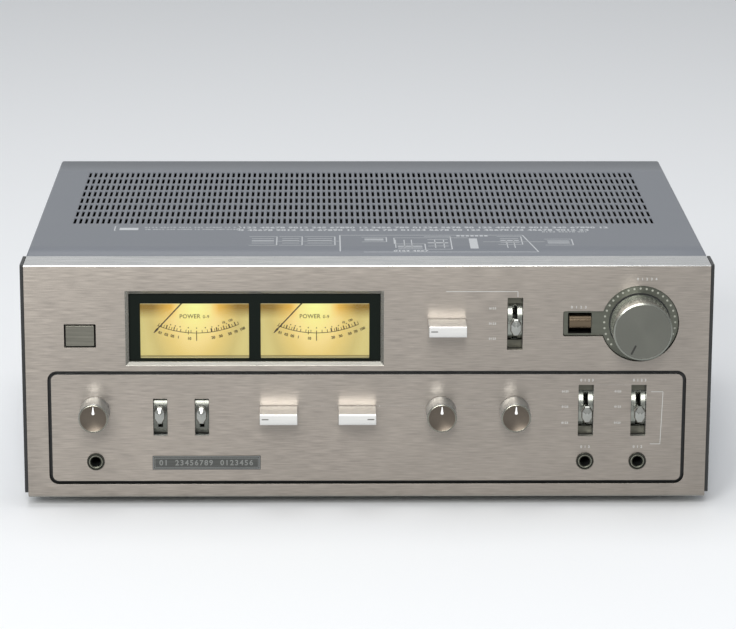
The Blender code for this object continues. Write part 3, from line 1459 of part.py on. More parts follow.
def ac_outlets():
    """The row of mains outlets: a face through the rear panel and a body inside it."""
    width, tall = outlet_window()
    x, height = OUTLETS_X, OUTLETS_HEIGHT
    margin = OUTLET_BODY_MARGIN
    body_back = REAR_INSIDE - GAP
    body = block_between(
        "ac_outlets",
        (x - width / 2 - margin, body_back - OUTLET_BODY_DEPTH, height - tall / 2 - margin),
        (x + width / 2 + margin, body_back, height + tall / 2 + margin),
    )
    face = block_between(
        "ac_outlets_face",
        (x - width / 2, body_back - OVERRUN, height - tall / 2),
        (x + width / 2, REAR_FACE + OUTLET_REACH, height + tall / 2),
    )
    join(body, face)
    for index in range(OUTLET_COUNT):
        centre = x + (index - (OUTLET_COUNT - 1) / 2) * OUTLET_PITCH
        slots = block_grid(
            f"outlet_slots_{index}",
            (OUTLET_SLOT_WIDTH, OUTLET_SLOT_LENGTH, 2 * OUTLET_SLOT_DEPTH),
            2,
            OUTLET_SLOT_PITCH,
            1,
            0,
            place(centre, REAR_FACE + OUTLET_REACH, height),
            OUT_OF_BACK,
        )
        cut(body, slots)
    return as_piece(body, "black_plastic")


def cord_gland():
    """The bushing in the rear panel for the mains cord."""
    inner_face = SHEET + GAP
    profile = [
        (GLAND_BORE_RADIUS, GLAND_REACH),
        (GLAND_TIP_RADIUS, GLAND_REACH),
        (GLAND_RADIUS, GAP + GLAND_FLANGE),
        (GLAND_RADIUS, GAP),
        (GLAND_NECK_RADIUS, GAP),
        (GLAND_NECK_RADIUS, -inner_face - GLAND_INSIDE),
        (GLAND_BORE_RADIUS, -inner_face - GLAND_INSIDE),
        (GLAND_BORE_RADIUS, GLAND_REACH),
    ]
    centre = place(GLAND_X, REAR_FACE, GLAND_HEIGHT)
    gland = turned("cord_gland", profile, centre, OUT_OF_BACK, COARSE_STEPS)
    return as_piece(gland, "black_rubber")


def foot(name, x, depth):
    """A turned foot with a sunk middle for its screw."""
    top = 0
    base = -FOOT_HEIGHT
    rounding = FOOT_ROUNDING
    lower = FOOT_RADIUS - FOOT_TAPER
    profile = [
        (0, top),
        (FOOT_RADIUS, top),
        (lower, base + rounding / 2),
        (lower - rounding / 2, base),
        (FOOT_RECESS_RADIUS, base),
        (FOOT_RECESS_RADIUS, base + FOOT_RECESS_DEPTH),
        (0, base + FOOT_RECESS_DEPTH),
    ]
    piece = turned(name, profile, place(x, depth, CHASSIS_LIFT - GAP), UPRIGHT, COARSE_STEPS)
    return as_piece(piece, "black_rubber")


def power_transformer():
    """A laminated core between two rounded bells, standing on flanges."""
    core = block(
        "power_transformer",
        (CORE_WIDTH, CORE_THICKNESS, CORE_HEIGHT),
        place(TRANSFORMER_X, TRANSFORMER_DEPTH, FLOOR + CORE_HEIGHT / 2),
    )
    bells = block(
        "transformer_bells",
        (BELL_WIDTH, CORE_THICKNESS + 2 * BELL_DEPTH, BELL_HEIGHT),
        place(TRANSFORMER_X, TRANSFORMER_DEPTH, FLOOR + CORE_HEIGHT / 2),
    )
    bevel(bells, BELL_ROUNDING)
    flange = block(
        "transformer_flange",
        (CORE_WIDTH + 2 * TRANSFORMER_FLANGE, CORE_THICKNESS, TRANSFORMER_FLANGE_THICKNESS),
        place(TRANSFORMER_X, TRANSFORMER_DEPTH, FLOOR + TRANSFORMER_FLANGE_THICKNESS / 2),
    )
    return as_piece(join(join(core, bells), flange), "grey_metal")


def filter_capacitor(name, depth):
    """A can standing in its clamp."""
    rounding = CAPACITOR_ROUNDING
    profile = [
        (0, CAPACITOR_HEIGHT),
        (CAPACITOR_RADIUS - rounding, CAPACITOR_HEIGHT),
        (CAPACITOR_RADIUS, CAPACITOR_HEIGHT - rounding),
        (CAPACITOR_RADIUS, CAPACITOR_CLAMP_HEIGHT),
        (CAPACITOR_CLAMP_RADIUS, CAPACITOR_CLAMP_HEIGHT),
        (CAPACITOR_CLAMP_RADIUS, 0),
        (0, 0),
    ]
    piece = turned(name, profile, place(CAPACITOR_X, depth, FLOOR), UPRIGHT, COARSE_STEPS)
    return as_piece(piece, "blue_sleeve")


def heat_sink():
    """The finned extrusion below the grille."""
    half = HEAT_SINK_WIDTH / 2
    root = HEAT_SINK_WALL
    tip = HEAT_SINK_WALL + FIN_LENGTH
    first = HEAT_SINK_FLANGE - half
    pitch = (HEAT_SINK_WIDTH - 2 * HEAT_SINK_FLANGE - FIN_THICKNESS) / (FIN_COUNT - 1)
    comb = [(half, root), (half, 0), (-half, 0), (-half, root)]
    for index in range(FIN_COUNT):
        left = first + index * pitch
        right = left + FIN_THICKNESS
        comb += [(left, root), (left, tip), (right, tip), (right, root)]
    centre = place(HEAT_SINK_X, HEAT_SINK_DEPTH, FLOOR + HEAT_SINK_HEIGHT / 2)
    return as_piece(outlined("heat_sink", [comb], HEAT_SINK_HEIGHT, centre, UPRIGHT), "black_steel")


def amplifier_board():
    """The main circuit board on its posts, with its larger components."""
    top = FLOOR + BOARD_POST_HEIGHT + BOARD_THICKNESS
    board = block(
        "amplifier_board",
        (BOARD_WIDTH, BOARD_LENGTH, BOARD_THICKNESS),
        place(BOARD_X, BOARD_DEPTH, top - BOARD_THICKNESS / 2),
    )
    post_length = BOARD_POST_HEIGHT + BOARD_THICKNESS / 2
    posts = rod_grid(
        "board_posts",
        BOARD_POST_RADIUS,
        post_length,
        2,
        BOARD_WIDTH - 2 * BOARD_POST_INSET,
        2,
        BOARD_LENGTH - 2 * BOARD_POST_INSET,
        place(BOARD_X, BOARD_DEPTH, FLOOR + post_length / 2),
        UPRIGHT,
        PIN_STEPS,
    )
    component_length = COMPONENT_HEIGHT + BOARD_THICKNESS / 2
    components = rod_grid(
        "board_components",
        COMPONENT_RADIUS,
        component_length,
        3,
        COMPONENT_PITCH,
        2,
        COMPONENT_ROW,
        place(BOARD_X, BOARD_DEPTH, top - BOARD_THICKNESS / 2 + component_length / 2),
        UPRIGHT,
        PIN_STEPS,
    )
    relay_height = RELAY_HEIGHT + BOARD_THICKNESS / 2
    relay = block(
        "board_relay",
        (RELAY_WIDTH, RELAY_LENGTH, relay_height),
        place(
            BOARD_X,
            BOARD_DEPTH + COMPONENT_ROW / 2 + COMPONENT_RADIUS + RELAY_LENGTH / 2 + OVERRUN,
            top - BOARD_THICKNESS / 2 + relay_height / 2,
        ),
    )
    for addition in (posts, components, relay):
        join(board, addition)
    return as_piece(board, "circuit_board")


def build_front():
    front_panel()
    lower_panel()
    end_cap(-1, "end_cap_left")
    end_cap(1, "end_cap_right")
    front_subchassis()


def build_meters():
    meter_frame()
    meter_window()
    meter_housing()
    for side, x in meter_centres().items():
        meter_dial(side, x)
        meter_needle(side, x)
        meter_movement(side, x)
    meter_lamp_board()


def build_rotary_controls():
    for name, x in (("speakers_knob", SPEAKERS_X), ("bass_knob", BASS_X), ("treble_knob", TREBLE_X)):
        knob(name, x)
    bar_knob("function_bar", FUNCTION_X, UPPER_ROW, -1)
    bar_knob("bass_turnover_bar", BASS_TURNOVER_X, LOWER_ROW, -1)
    bar_knob("treble_turnover_bar", TREBLE_TURNOVER_X, LOWER_ROW, 1)
    wafer_switch("speaker_selector", SPEAKERS_X, LOWER_ROW, SPEAKER_SELECTOR_DEPTH, 1)
    wafer_switch("function_selector", FUNCTION_X, UPPER_ROW, FUNCTION_SELECTOR_DEPTH, 2)
    tone_board()
    volume_escutcheon()
    volume_knob()
    volume_control()


def build_levers():
    muting_paddle()
    muting_switch()
    tall = (("mode", MODE_X, UPPER_ROW), ("tape", TAPE_X, LOWER_ROW), ("copy", COPY_X, LOWER_ROW))
    for name, x, height in tall:
        switch_lever(name + "_lever", x, height, 0)
        lever_switch(name + "_switch", x, height, WELL_WIDTH, WELL_HEIGHT, LEVER_SWING)
    for name, x in (("low_filter", LOW_FILTER_X), ("high_filter", HIGH_FILTER_X)):
        height = SHORT_WELL_CENTRE
        switch_lever(name + "_lever", x, height, SHORT_LEVER_SWING)
        lever_switch(
            name + "_switch", x, height, SHORT_WELL_WIDTH, SHORT_WELL_HEIGHT, SHORT_LEVER_SWING
        )


def build_cabinet():
    top_cover()
    chassis()
    rear_panel()
    side = COVER_WIDTH / 2 - FOOT_INSET
    back = BODY_DEPTH - FOOT_SETBACK
    foot("foot_front_left", -side, FOOT_SETBACK)
    foot("foot_front_right", side, FOOT_SETBACK)
    foot("foot_rear_left", -side, back)
    foot("foot_rear_right", side, back)


def build_inside():
    power_transformer()
    filter_capacitor("filter_capacitor_front", CAPACITOR_DEPTH)
    filter_capacitor("filter_capacitor_rear", CAPACITOR_DEPTH + CAPACITOR_PITCH)
    heat_sink()
    amplifier_board()


def build_rear():
    input_terminals()
    speaker_terminals()
    ac_outlets()
    cord_gland()


clear_scene()
PIECES = new_collection("integrated_amplifier")
CUTTERS = new_collection("cutters")
build_front()
build_meters()
build_rotary_controls()
power_button()
power_switch()
build_levers()
phone_jack("phones_jack", SPEAKERS_X)
phone_jack("aux_jack", TAPE_X)
phone_jack("mic_jack", COPY_X)
build_cabinet()
build_inside()
build_rear()
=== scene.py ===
import json
import math
from contextlib import contextmanager

import bmesh
import bpy
from mathutils import Matrix, Vector


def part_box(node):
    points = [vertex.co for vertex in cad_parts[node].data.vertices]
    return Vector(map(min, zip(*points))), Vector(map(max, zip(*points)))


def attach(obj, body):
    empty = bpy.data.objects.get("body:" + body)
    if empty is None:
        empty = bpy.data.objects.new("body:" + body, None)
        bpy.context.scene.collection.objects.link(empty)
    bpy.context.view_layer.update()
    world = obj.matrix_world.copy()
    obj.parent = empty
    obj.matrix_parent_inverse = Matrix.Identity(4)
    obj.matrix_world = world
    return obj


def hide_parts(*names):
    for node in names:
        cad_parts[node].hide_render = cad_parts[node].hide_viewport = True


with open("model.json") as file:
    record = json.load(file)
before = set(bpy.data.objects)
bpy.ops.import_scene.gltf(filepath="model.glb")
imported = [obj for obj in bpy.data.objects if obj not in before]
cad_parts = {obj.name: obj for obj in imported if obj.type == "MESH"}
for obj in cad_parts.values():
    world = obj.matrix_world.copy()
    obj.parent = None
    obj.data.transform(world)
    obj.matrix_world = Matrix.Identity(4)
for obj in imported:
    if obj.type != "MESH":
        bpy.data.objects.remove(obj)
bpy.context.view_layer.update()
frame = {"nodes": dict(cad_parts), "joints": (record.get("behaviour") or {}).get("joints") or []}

MM = 0.001
CABINET = "cabinet"
FACE_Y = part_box("front_panel")[0].y
PANEL_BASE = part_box("front_panel")[0].z
PIVOTS = {joint["child"]: Vector(joint["pos_m"]) for joint in frame["joints"] if "pos_m" in joint}
LEVEL = (0.0, 0.0, 0.0)
QUARTER = math.radians(90)
OUT_OF_FRONT = (QUARTER, 0.0, 0.0)
OUT_OF_BACK = (QUARTER, 0.0, math.pi)


def at(x, depth, height):
    """A point in metres from x, depth behind the panel's face and height above its lower edge, in mm."""
    return Vector((x * MM, FACE_Y + depth * MM, PANEL_BASE + height * MM))


def middle(node):
    """x and height of a node's middle, in mm."""
    low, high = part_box(node)
    return (low.x + high.x) / 2 / MM, ((low.z + high.z) / 2 - PANEL_BASE) / MM


# Sizes in millimetres. A place on the front is x and height, one on the rear is minus x and height.
PANEL_WIDTH = 455.6
PANEL_HEIGHT = 160.5
PANEL_THICKNESS = 4.0
LOWER_WIDTH = 422.0
LOWER_HEIGHT = 74.1
LOWER_CENTRE = 48.6
UPPER_ROW = 120.4
LOWER_ROW = 60.4
COVER_HALF_WIDTH = 228.7
COVER_TOP = 160.1
COVER_FRONT = 27.0
COVER_BACK = 341.0
SHEET = 1.2
REAR = 340.0
DIAL_DEPTH = 13.66
METERS = (-75.0, 117.4)
METER_OPENING = (167.4, 46.7)
METER_LAMP_HEIGHT = 137.0
BADGE = (-107.75, 24.35)
SHAFT_RADIUS = 3.0
SHAFT_END = -16.0
PRINT_LIFT = 0.04
INPUTS = (-128.0, 92.0)
SPEAKERS = (36.0, 60.0)

LEVERS = ("mode", "tape", "copy")
FILTERS = ("low_filter", "high_filter")
JACKS = ("phones_jack", "aux_jack", "mic_jack")


# ---- materials


M = {}
EVEN = (1.0, 1.0, 1.0)


class Finish:
    """One material: a Principled shader with procedural grain, tint, gloss and relief. M has it by name."""

    def __init__(self, name, colour, roughness, metallic=0.0, **constants):
        self.material = M[name] = bpy.data.materials.new(name)
        self.material.use_nodes = True
        self.tree = self.material.node_tree
        self.shader = self.tree.nodes["Principled BSDF"]
        self.colour = colour
        self.roughness = roughness
        self.set("Base Color", (*colour, 1.0))
        self.set("Roughness", roughness)
        self.set("Metallic", metallic)
        for socket, value in constants.items():
            self.set(socket.replace("_", " "), value)

    def set(self, socket, value):
        self.shader.inputs[socket].default_value = value

    def add(self, kind, sockets=None, **settings):
        node = self.tree.nodes.new(kind)
        for key, value in settings.items():
            setattr(node, key, value)
        for socket, value in (sockets or {}).items():
            if isinstance(value, bpy.types.NodeSocket):
                self.tree.links.new(value, node.inputs[socket])
            else:
                node.inputs[socket].default_value = value
        return node

    def link(self, output, socket):
        self.tree.links.new(output, self.shader.inputs[socket])

    def place(self, stretch=EVEN):
        coordinates = self.add("ShaderNodeTexCoord")
        mapping = self.add("ShaderNodeMapping", {"Vector": coordinates.outputs["Object"], "Scale": stretch})
        return mapping.outputs["Vector"]

    def noise(self, vector, scale, detail=3.0):
        node = self.add("ShaderNodeTexNoise", {"Vector": vector, "Scale": scale, "Detail": detail})
        return node.outputs["Fac"]

    def ramp(self, value, low, high, at_low=0.3, at_high=0.7):
        sockets = {"Value": value, "From Min": at_low, "From Max": at_high, "To Min": low, "To Max": high}
        return self.add("ShaderNodeMapRange", sockets).outputs["Result"]

    def sum(self, first, second, operation="ADD"):
        return self.add("ShaderNodeMath", {0: first, 1: second}, operation=operation).outputs["Value"]

    def blend(self, value, first, second):
        """Colour going from the first to the second as the value goes from 0 to 1."""
        mix = self.add("ShaderNodeMix", {0: value}, data_type="RGBA")
        for socket, colour in ((6, first), (7, second)):
            if isinstance(colour, bpy.types.NodeSocket):
                self.tree.links.new(colour, mix.inputs[socket])
            else:
                mix.inputs[socket].default_value = (*colour, 1.0)
        return mix.outputs[2]

    def tint(self, value, spread):
        """Base colour lighter and darker by the spread as the value goes over its range."""
        dark = [channel * (1 - spread) for channel in self.colour]
        light = [min(1.0, channel * (1 + spread)) for channel in self.colour]
        return self.blend(value, dark, light)

    def relief(self, value, strength):
        bump = self.add("ShaderNodeBump", {"Height": value, "Strength": strength, "Distance": 0.0001})
        self.link(bump.outputs["Normal"], "Normal")

    def surface(self, fine, slow, share, spread, gloss, strength):
        """Tint, gloss and relief from fine grain and from a share of slow changes from place to place."""
        mixed = self.sum(self.ramp(fine, 0.0, 1.0 - share), self.ramp(slow, 0.0, share))
        self.link(self.tint(mixed, spread), "Base Color")
        self.link(self.ramp(mixed, self.roughness - gloss, self.roughness + gloss, 0.0, 1.0), "Roughness")
        self.relief(fine, strength)

    def grain(self, scale, spread, gloss, strength, patch=18.0, stretch=EVEN):
        """Fine grain, longer in the directions that the stretch makes small."""
        fine = self.noise(self.place(stretch), scale, 4.0)
        self.surface(fine, self.noise(self.place(), patch, 2.0), 0.2, spread, gloss, strength)

    def along_x(self):
        """The shader's tangent laid along the piece's own X."""
        turn = dict(vector_type="VECTOR", convert_from="OBJECT", convert_to="WORLD")
        grain = self.add("ShaderNodeVectorTransform", {"Vector": (1.0, 0.0, 0.0)}, **turn)
        self.link(grain.outputs["Vector"], "Tangent")


def brushed(
    name, colour, roughness, stretch=(0.035, 1.0, 1.0), scale=900.0, spread=0.07, strength=0.25, metallic=1.0
):
    """Metal brushed along the piece's X, so that its glints run up and down."""
    finish = Finish(name, colour, roughness, metallic, Anisotropic=0.75, Anisotropic_Rotation=0.25)
    finish.along_x()
    finish.grain(scale, spread, 0.07, strength, stretch=stretch)


def spun(name, colour, roughness, spread=0.10, rings=2600.0, turning=0.6):
    """Metal turned on a lathe: rings about the piece's own Z."""
    finish = Finish(name, colour, roughness, 1.0, Anisotropic=turning, Anisotropic_Rotation=0.25)
    parts = finish.add("ShaderNodeSeparateXYZ", {"Vector": finish.place()})
    across = finish.sum(parts.outputs["X"], parts.outputs["X"], "MULTIPLY")
    along = finish.sum(parts.outputs["Y"], parts.outputs["Y"], "MULTIPLY")
    radius = finish.sum(finish.sum(across, along), 0.5, "POWER")
    vector = finish.add("ShaderNodeCombineXYZ", {"X": radius}).outputs["Vector"]
    slow = finish.noise(finish.place(), 120.0, 2.0)
    finish.surface(finish.noise(vector, rings), slow, 0.3, spread, 0.06, 0.2)
    tangent = finish.add("ShaderNodeTangent", direction_type="RADIAL", axis="Z")
    finish.link(tangent.outputs["Tangent"], "Tangent")


def rolled(name, colour, roughness):
    """Bright metal polished round a level axis, so that its glints run across it."""
    finish = Finish(name, colour, roughness, 1.0, Anisotropic=0.8)
    finish.along_x()
    finish.grain(900.0, 0.08, 0.05, 0.1, stretch=(1.0, 0.05, 0.05))


def polished(name, colour, roughness):
    Finish(name, colour, roughness, 1.0).grain(700.0, 0.04, 0.03, 0.04, patch=60.0)


def painted(name, colour, roughness, spread=0.05, strength=0.25, scale=1500.0, **constants):
    Finish(name, colour, roughness, **constants).grain(scale, spread, 0.06, strength)


def moulded(name, colour, roughness, strength=0.15, **constants):
    Finish(name, colour, roughness, **constants).grain(2200.0, 0.12, 0.08, strength)


def ink(name, colour, roughness=0.5):
    Finish(name, colour, roughness).grain(1800.0, 0.10, 0.08, 0.05)


def pane(name):
    finish = Finish(name, (0.97, 0.99, 0.98), 0.02, IOR=1.2)
    finish.set("Transmission Weight", 1.0)
    smear = finish.noise(finish.place((1.0, 1.0, 0.4)), 60.0, 3.0)
    finish.link(finish.ramp(smear, 0.01, 0.05), "Roughness")


def painted_glow_dial(name, x, lamp_height):
    """Warm card glowing with painted lamplight from a lamp above its middle: a painted pool of light,
    painted amber shade beside the lamp, and a pale painted rim of light above and below.
    """
    finish = Finish(name, (0.05, 0.035, 0.012), 0.6, Specular_IOR_Level=0.15)
    lamp = at(x, 0.0, lamp_height)
    coordinates = finish.add("ShaderNodeTexCoord").outputs["Object"]
    parts = finish.add("ShaderNodeSeparateXYZ", {"Vector": coordinates})
    sideways = finish.sum(parts.outputs["X"], lamp.x, "SUBTRACT")
    aside = finish.add("ShaderNodeMath", {0: sideways}, operation="ABSOLUTE").outputs["Value"]
    drop = finish.sum(lamp.z, parts.outputs["Z"], "SUBTRACT")
    wide = finish.sum(finish.sum(aside, 1.10, "MULTIPLY"), 2.0, "POWER")
    deep = finish.sum(finish.sum(drop, 0.55, "MULTIPLY"), 2.0, "POWER")
    distance = finish.sum(finish.sum(wide, deep), 0.5, "POWER")
    # Painted pool of lamplight: brightest under the lamp and fading with distance from it.
    glow = finish.add("ShaderNodeValToRGB", {"Fac": finish.ramp(distance, 0.0, 1.0, 0.004, 0.052)})
    stops = (
        (0.00, (1.00, 1.00, 0.36)),
        (0.12, (0.98, 0.87, 0.31)),
        (0.30, (0.94, 0.72, 0.28)),
        (0.42, (0.82, 0.61, 0.20)),
        (0.62, (0.64, 0.51, 0.185)),
        (0.74, (0.69, 0.58, 0.225)),
    )
    fill_ramp(glow.color_ramp, stops)
    # Painted shade in the upper corners: amber that darkens outward, away from the lamp.
    edge = finish.ramp(drop, 1.0, 0.0, 0.0090, 0.0165)
    beside = finish.ramp(aside, 0.0, 1.0, 0.010, 0.016)
    outward = finish.ramp(aside, 0.0, 1.0, 0.013, 0.028)
    shade = finish.blend(outward, (0.95, 0.54, 0.085), (0.28, 0.165, 0.028))
    lit = finish.blend(finish.sum(edge, beside, "MULTIPLY"), glow.outputs["Color"], shade)
    # A pale painted rim of light just under the top edge, a thin dark line, then a pale painted band below
    # it.
    above = finish.blend(finish.ramp(drop, 1.0, 0.0, 0.0058, 0.0064), lit, (0.95, 0.86, 0.50))
    line = finish.blend(finish.ramp(drop, 0.0, 1.0, 0.0415, 0.0419), above, (0.24, 0.19, 0.08))
    below = finish.blend(finish.ramp(drop, 0.0, 1.0, 0.0424, 0.0429), line, (0.66, 0.58, 0.30))
    # The card emits this pattern of painted light and shade itself.
    finish.link(below, "Emission Color")
    finish.set("Emission Strength", 0.93)
    paper = finish.noise(finish.place(), 1600.0, 3.0)
    finish.link(finish.ramp(paper, 0.5, 0.7), "Roughness")
    finish.relief(paper, 0.08)
    return finish.material


def fill_ramp(ramp, stops):
    while len(ramp.elements) < len(stops):
        ramp.elements.new(0.5)
    for element, (position, colour) in zip(ramp.elements, stops):
        element.position = position
        element.color = (*colour, 1.0)


brushed("panel_brushed", (0.292, 0.264, 0.234), 0.36, (0.06, 1.0, 1.0), 1300.0, 0.15, 0.3)
brushed("panel_edge", (0.61, 0.615, 0.61), 0.26, spread=0.04, scale=1100.0, strength=0.1)
brushed("panel_bevel", (0.36, 0.35, 0.315), 0.30, spread=0.06, scale=1100.0, strength=0.1)
brushed("button_brushed", (0.146, 0.142, 0.120), 0.32, spread=0.22, scale=700.0)
brushed("badge_brushed", (0.082, 0.085, 0.081), 0.36, spread=0.14)
polished("badge_line", (0.24, 0.245, 0.24), 0.25)
brushed("dish_satin", (0.112, 0.116, 0.096), 0.34, spread=0.08)
brushed("bar_satin", (0.62, 0.617, 0.60), 0.30, spread=0.03, strength=0.08, metallic=0.9)
# A lighter copy of the bar metal for the bars' tops: painted light from above.
polished("bar_top_painted_light", (0.88, 0.875, 0.855), 0.38)
ink("bar_mark", (0.10, 0.10, 0.09), 0.35)
polished("knob_side", (0.66, 0.685, 0.69), 0.30)
spun("knob_face", (0.127, 0.107, 0.087), 0.40, turning=0.2)
polished("knob_rim", (0.24, 0.235, 0.20), 0.26)
spun("volume_side", (0.72, 0.74, 0.71), 0.27, spread=0.10, rings=900.0, turning=0.3)
polished("volume_rim", (0.24, 0.247, 0.22), 0.25)
spun("volume_face", (0.148, 0.150, 0.131), 0.38, spread=0.05, rings=1800.0, turning=0.25)
# Near-black painted shadow: for the groove walls, the dark ring round the volume knob and the jack bores.
moulded("shadow_gap", (0.006, 0.007, 0.006), 0.6)
polished("chrome", (0.36, 0.365, 0.34), 0.15)
rolled("barrel_chrome", (0.29, 0.30, 0.27), 0.24)
# A darker copy of the barrel chrome for the filter wells: painted shade.
rolled("small_barrel_shaded", (0.15, 0.155, 0.138), 0.24)
brushed("well_plate", (0.10, 0.098, 0.080), 0.34, spread=0.12)
polished("jack_metal", (0.06, 0.062, 0.05), 0.24)
polished("jack_ring", (0.26, 0.26, 0.21), 0.24)
brushed("paddle_dark", (0.13, 0.10, 0.068), 0.20, spread=0.10, strength=0.08)
painted("cover_paint", (0.150, 0.163, 0.186), 0.42)
painted("black_paint", (0.014, 0.015, 0.015), 0.5)
brushed("plated_sheet", (0.52, 0.52, 0.49), 0.36, EVEN, 60.0, 0.10)
moulded("black_plastic", (0.010, 0.011, 0.011), 0.4)
moulded("frame_plastic", (0.005, 0.008, 0.006), 0.34, 0.05, Specular_IOR_Level=0.08)
moulded("black_rubber", (0.022, 0.022, 0.022), 0.75, 0.4)
moulded("white_plastic", (0.72, 0.71, 0.68), 0.4)
moulded("red_plastic", (0.30, 0.022, 0.018), 0.4)
polished("nickel_plate", (0.58, 0.57, 0.53), 0.24)
pane("clear_pane")
ink("needle_paint", (0.060, 0.030, 0.008), 0.6)
ink("index_ink", (0.016, 0.015, 0.012), 0.4)
ink("scale_ink", (0.085, 0.055, 0.012), 0.8)
ink("title_ink", (0.20, 0.15, 0.04), 0.8)
ink("badge_ink", (0.165, 0.172, 0.165), 0.45)
ink("pale_ink", (0.50, 0.505, 0.49), 0.55)
ink("cover_ink", (0.50, 0.52, 0.54), 0.6)
ink("dot_ink", (0.33, 0.34, 0.29), 0.5)
ink("white_ink", (0.95, 0.95, 0.93), 0.4)
painted("laminate", (0.26, 0.17, 0.07), 0.5, spread=0.12, scale=500.0)
painted("phenolic_board", (0.045, 0.030, 0.022), 0.42, spread=0.12, scale=600.0)
moulded("blue_sleeve", (0.035, 0.05, 0.17), 0.32)
painted("core_steel", (0.10, 0.10, 0.11), 0.5, spread=0.12, scale=700.0)
painted("fin_anodised", (0.03, 0.03, 0.033), 0.4)


# ---- meshes


@contextmanager
def editing(mesh):
    """The mesh as a BMesh, written back after the edit."""
    built = bmesh.new()
    built.from_mesh(mesh)
    yield built
    built.to_mesh(mesh)
    built.free()


def mesh_of(name, points, faces, bands=()):
    mesh = bpy.data.meshes.new(name)
    mesh.from_pydata([Vector(point) * MM for point in points], [], faces)
    for polygon, band in zip(mesh.polygons, bands):
        polygon.material_index = band
    return mesh


def closed(mesh):
    """The mesh with its faces turned outward."""
    with editing(mesh) as built:
        bmesh.ops.recalc_face_normals(built, faces=built.faces)
    return mesh


def turned(name, profile, steps, offset=(0.0, 0.0)):
    """A turned surface from rows of radius and reach, then the band's material and its ribs if not 0."""
    points = []
    faces = []
    bands = []
    rings = []
    for radius, reach, *band_and_rib in profile:
        band, rib = (*band_and_rib, 0, 0.0)[:2]
        ring = []
        for step in range(steps if radius > 0 else 1):
            angle = math.tau * step / steps
            size = radius - rib * (step % 2)
            ring.append(len(points))
            points.append((offset[0] + size * math.cos(angle), offset[1] + size * math.sin(angle), reach))
        rings.append((ring, band))
    for (near, band), (far, _) in zip(rings, rings[1:]):
        for step in range(steps):
            after = (step + 1) % steps
            corners = ((near, step), (far, step), (far, after), (near, after))
            faces.append(tuple(dict.fromkeys(ring[place % len(ring)] for ring, place in corners)))
            bands.append(band)
    return mesh_of(name, points, faces, bands)


def arc(centre, radius, start, end, steps):
    points = []
    for step in range(steps + 1):
        angle = start + (end - start) * step / steps
        points.append((centre[0] + radius * math.cos(angle), centre[1] + radius * math.sin(angle)))
    return points


def circle(centre, radius, steps=48):
    return arc(centre, radius, 0, math.tau, steps)[:-1]


def rectangle(centre, width, height, radius=0.0, steps=6):
    half_width = width / 2 - radius
    half_height = height / 2 - radius
    points = []
    for turn, (side, level) in enumerate(((1, 1), (-1, 1), (-1, -1), (1, -1))):
        corner = (centre[0] + side * half_width, centre[1] + level * half_height)
        if radius > 0:
            start = turn * math.pi / 2
            points += arc(corner, radius, start, start + math.pi / 2, steps)
        else:
            points.append(corner)
    return points


def keyhole(margin):
    """The dish round the volume knob with the paddle's keyway running into it."""
    x, height = middle("volume_knob")
    left = middle("muting_paddle")[0] - 10.8 - margin
    radius = 25.7 + margin
    half = 8.3 + margin
    corner = 1.0 + margin
    meeting = math.asin(half / radius)
    points = arc((x, height), radius, math.pi + meeting, 3 * math.pi - meeting, 96)
    points += arc((left + corner, height + half - corner), corner, math.pi / 2, math.pi, 5)
    points += arc((left + corner, height - half + corner), corner, math.pi, 3 * math.pi / 2, 5)
    return points


def linked(data, name=None):
    """A new object in the scene, under its data's name or another."""
    item = bpy.data.objects.new(name or data.name, data)
    bpy.context.scene.collection.objects.link(item)
    return item


def evaluated(item):
    """The object's mesh with its modifiers applied; the object itself is removed."""
    graph = bpy.context.evaluated_depsgraph_get()
    mesh = bpy.data.meshes.new_from_object(item.evaluated_get(graph))
    bpy.data.objects.remove(item)
    return mesh


def slab(name, outlines, thickness):
    """A plate from closed outlines, inner ones being holes. Its front is at 0 and faces +Z."""
    curve = bpy.data.curves.new(name, "CURVE")
    curve.dimensions = "2D"
    curve.fill_mode = "BOTH"
    curve.extrude = thickness / 2 * MM
    for outline in outlines:
        spline = curve.splines.new("POLY")
        spline.points.add(len(outline) - 1)
        for point, (x, y) in zip(spline.points, outline):
            point.co = (x * MM, y * MM, 0.0, 1.0)
        spline.use_cyclic_u = True
    mesh = lifted(evaluated(linked(curve)), -thickness / 2)
    with editing(mesh) as built:
        bmesh.ops.remove_doubles(built, verts=built.verts, dist=0.01 * MM)
        bmesh.ops.dissolve_limit(built, angle_limit=0.01, verts=built.verts, edges=built.edges)
    return closed(mesh)


def prism(name, outline, width):
    """A solid whose outline is in reach out of the front and height, extruded across the cabinet."""
    count = len(outline)
    points = [(side * width / 2, -reach, height) for side in (-1, 1) for reach, height in outline]
    faces = [tuple(range(count)), tuple(range(2 * count - 1, count - 1, -1))]
    for index in range(count):
        after = (index + 1) % count
        faces.append((index, count + index, count + after, after))
    return closed(mesh_of(name, points, faces))


def prism_between(name, low, high):
    outline = [(low[1], low[2]), (high[1], low[2]), (high[1], high[2]), (low[1], high[2])]
    mesh = prism(name, outline, high[0] - low[0])
    mesh.transform(Matrix.Translation(((low[0] + high[0]) / 2 * MM, 0.0, 0.0)))
    return mesh


def edged(mesh, groove=0.0):
    """The mesh with every face that doesn't look out of the front given its second finish.

    The walls of the lower opening, out to the groove's width round the lower panel, get the third, a
    near-black painted shadow in the groove, and the other openings' edges the fourth.
    """
    half_width = (LOWER_WIDTH / 2 + groove + 0.1) * MM
    half_height = (LOWER_HEIGHT / 2 + groove + 0.1) * MM
    top = (PANEL_HEIGHT - 2.0) * MM
    for polygon in mesh.polygons:
        x, _, height = polygon.center
        inside = abs(x) < half_width and abs(height - LOWER_CENTRE * MM) < half_height
        if polygon.normal.y < -0.98:
            polygon.material_index = 0
        elif groove and inside:
            polygon.material_index = 2
        else:
            polygon.material_index = 3 if groove and height < top else 1
    return mesh


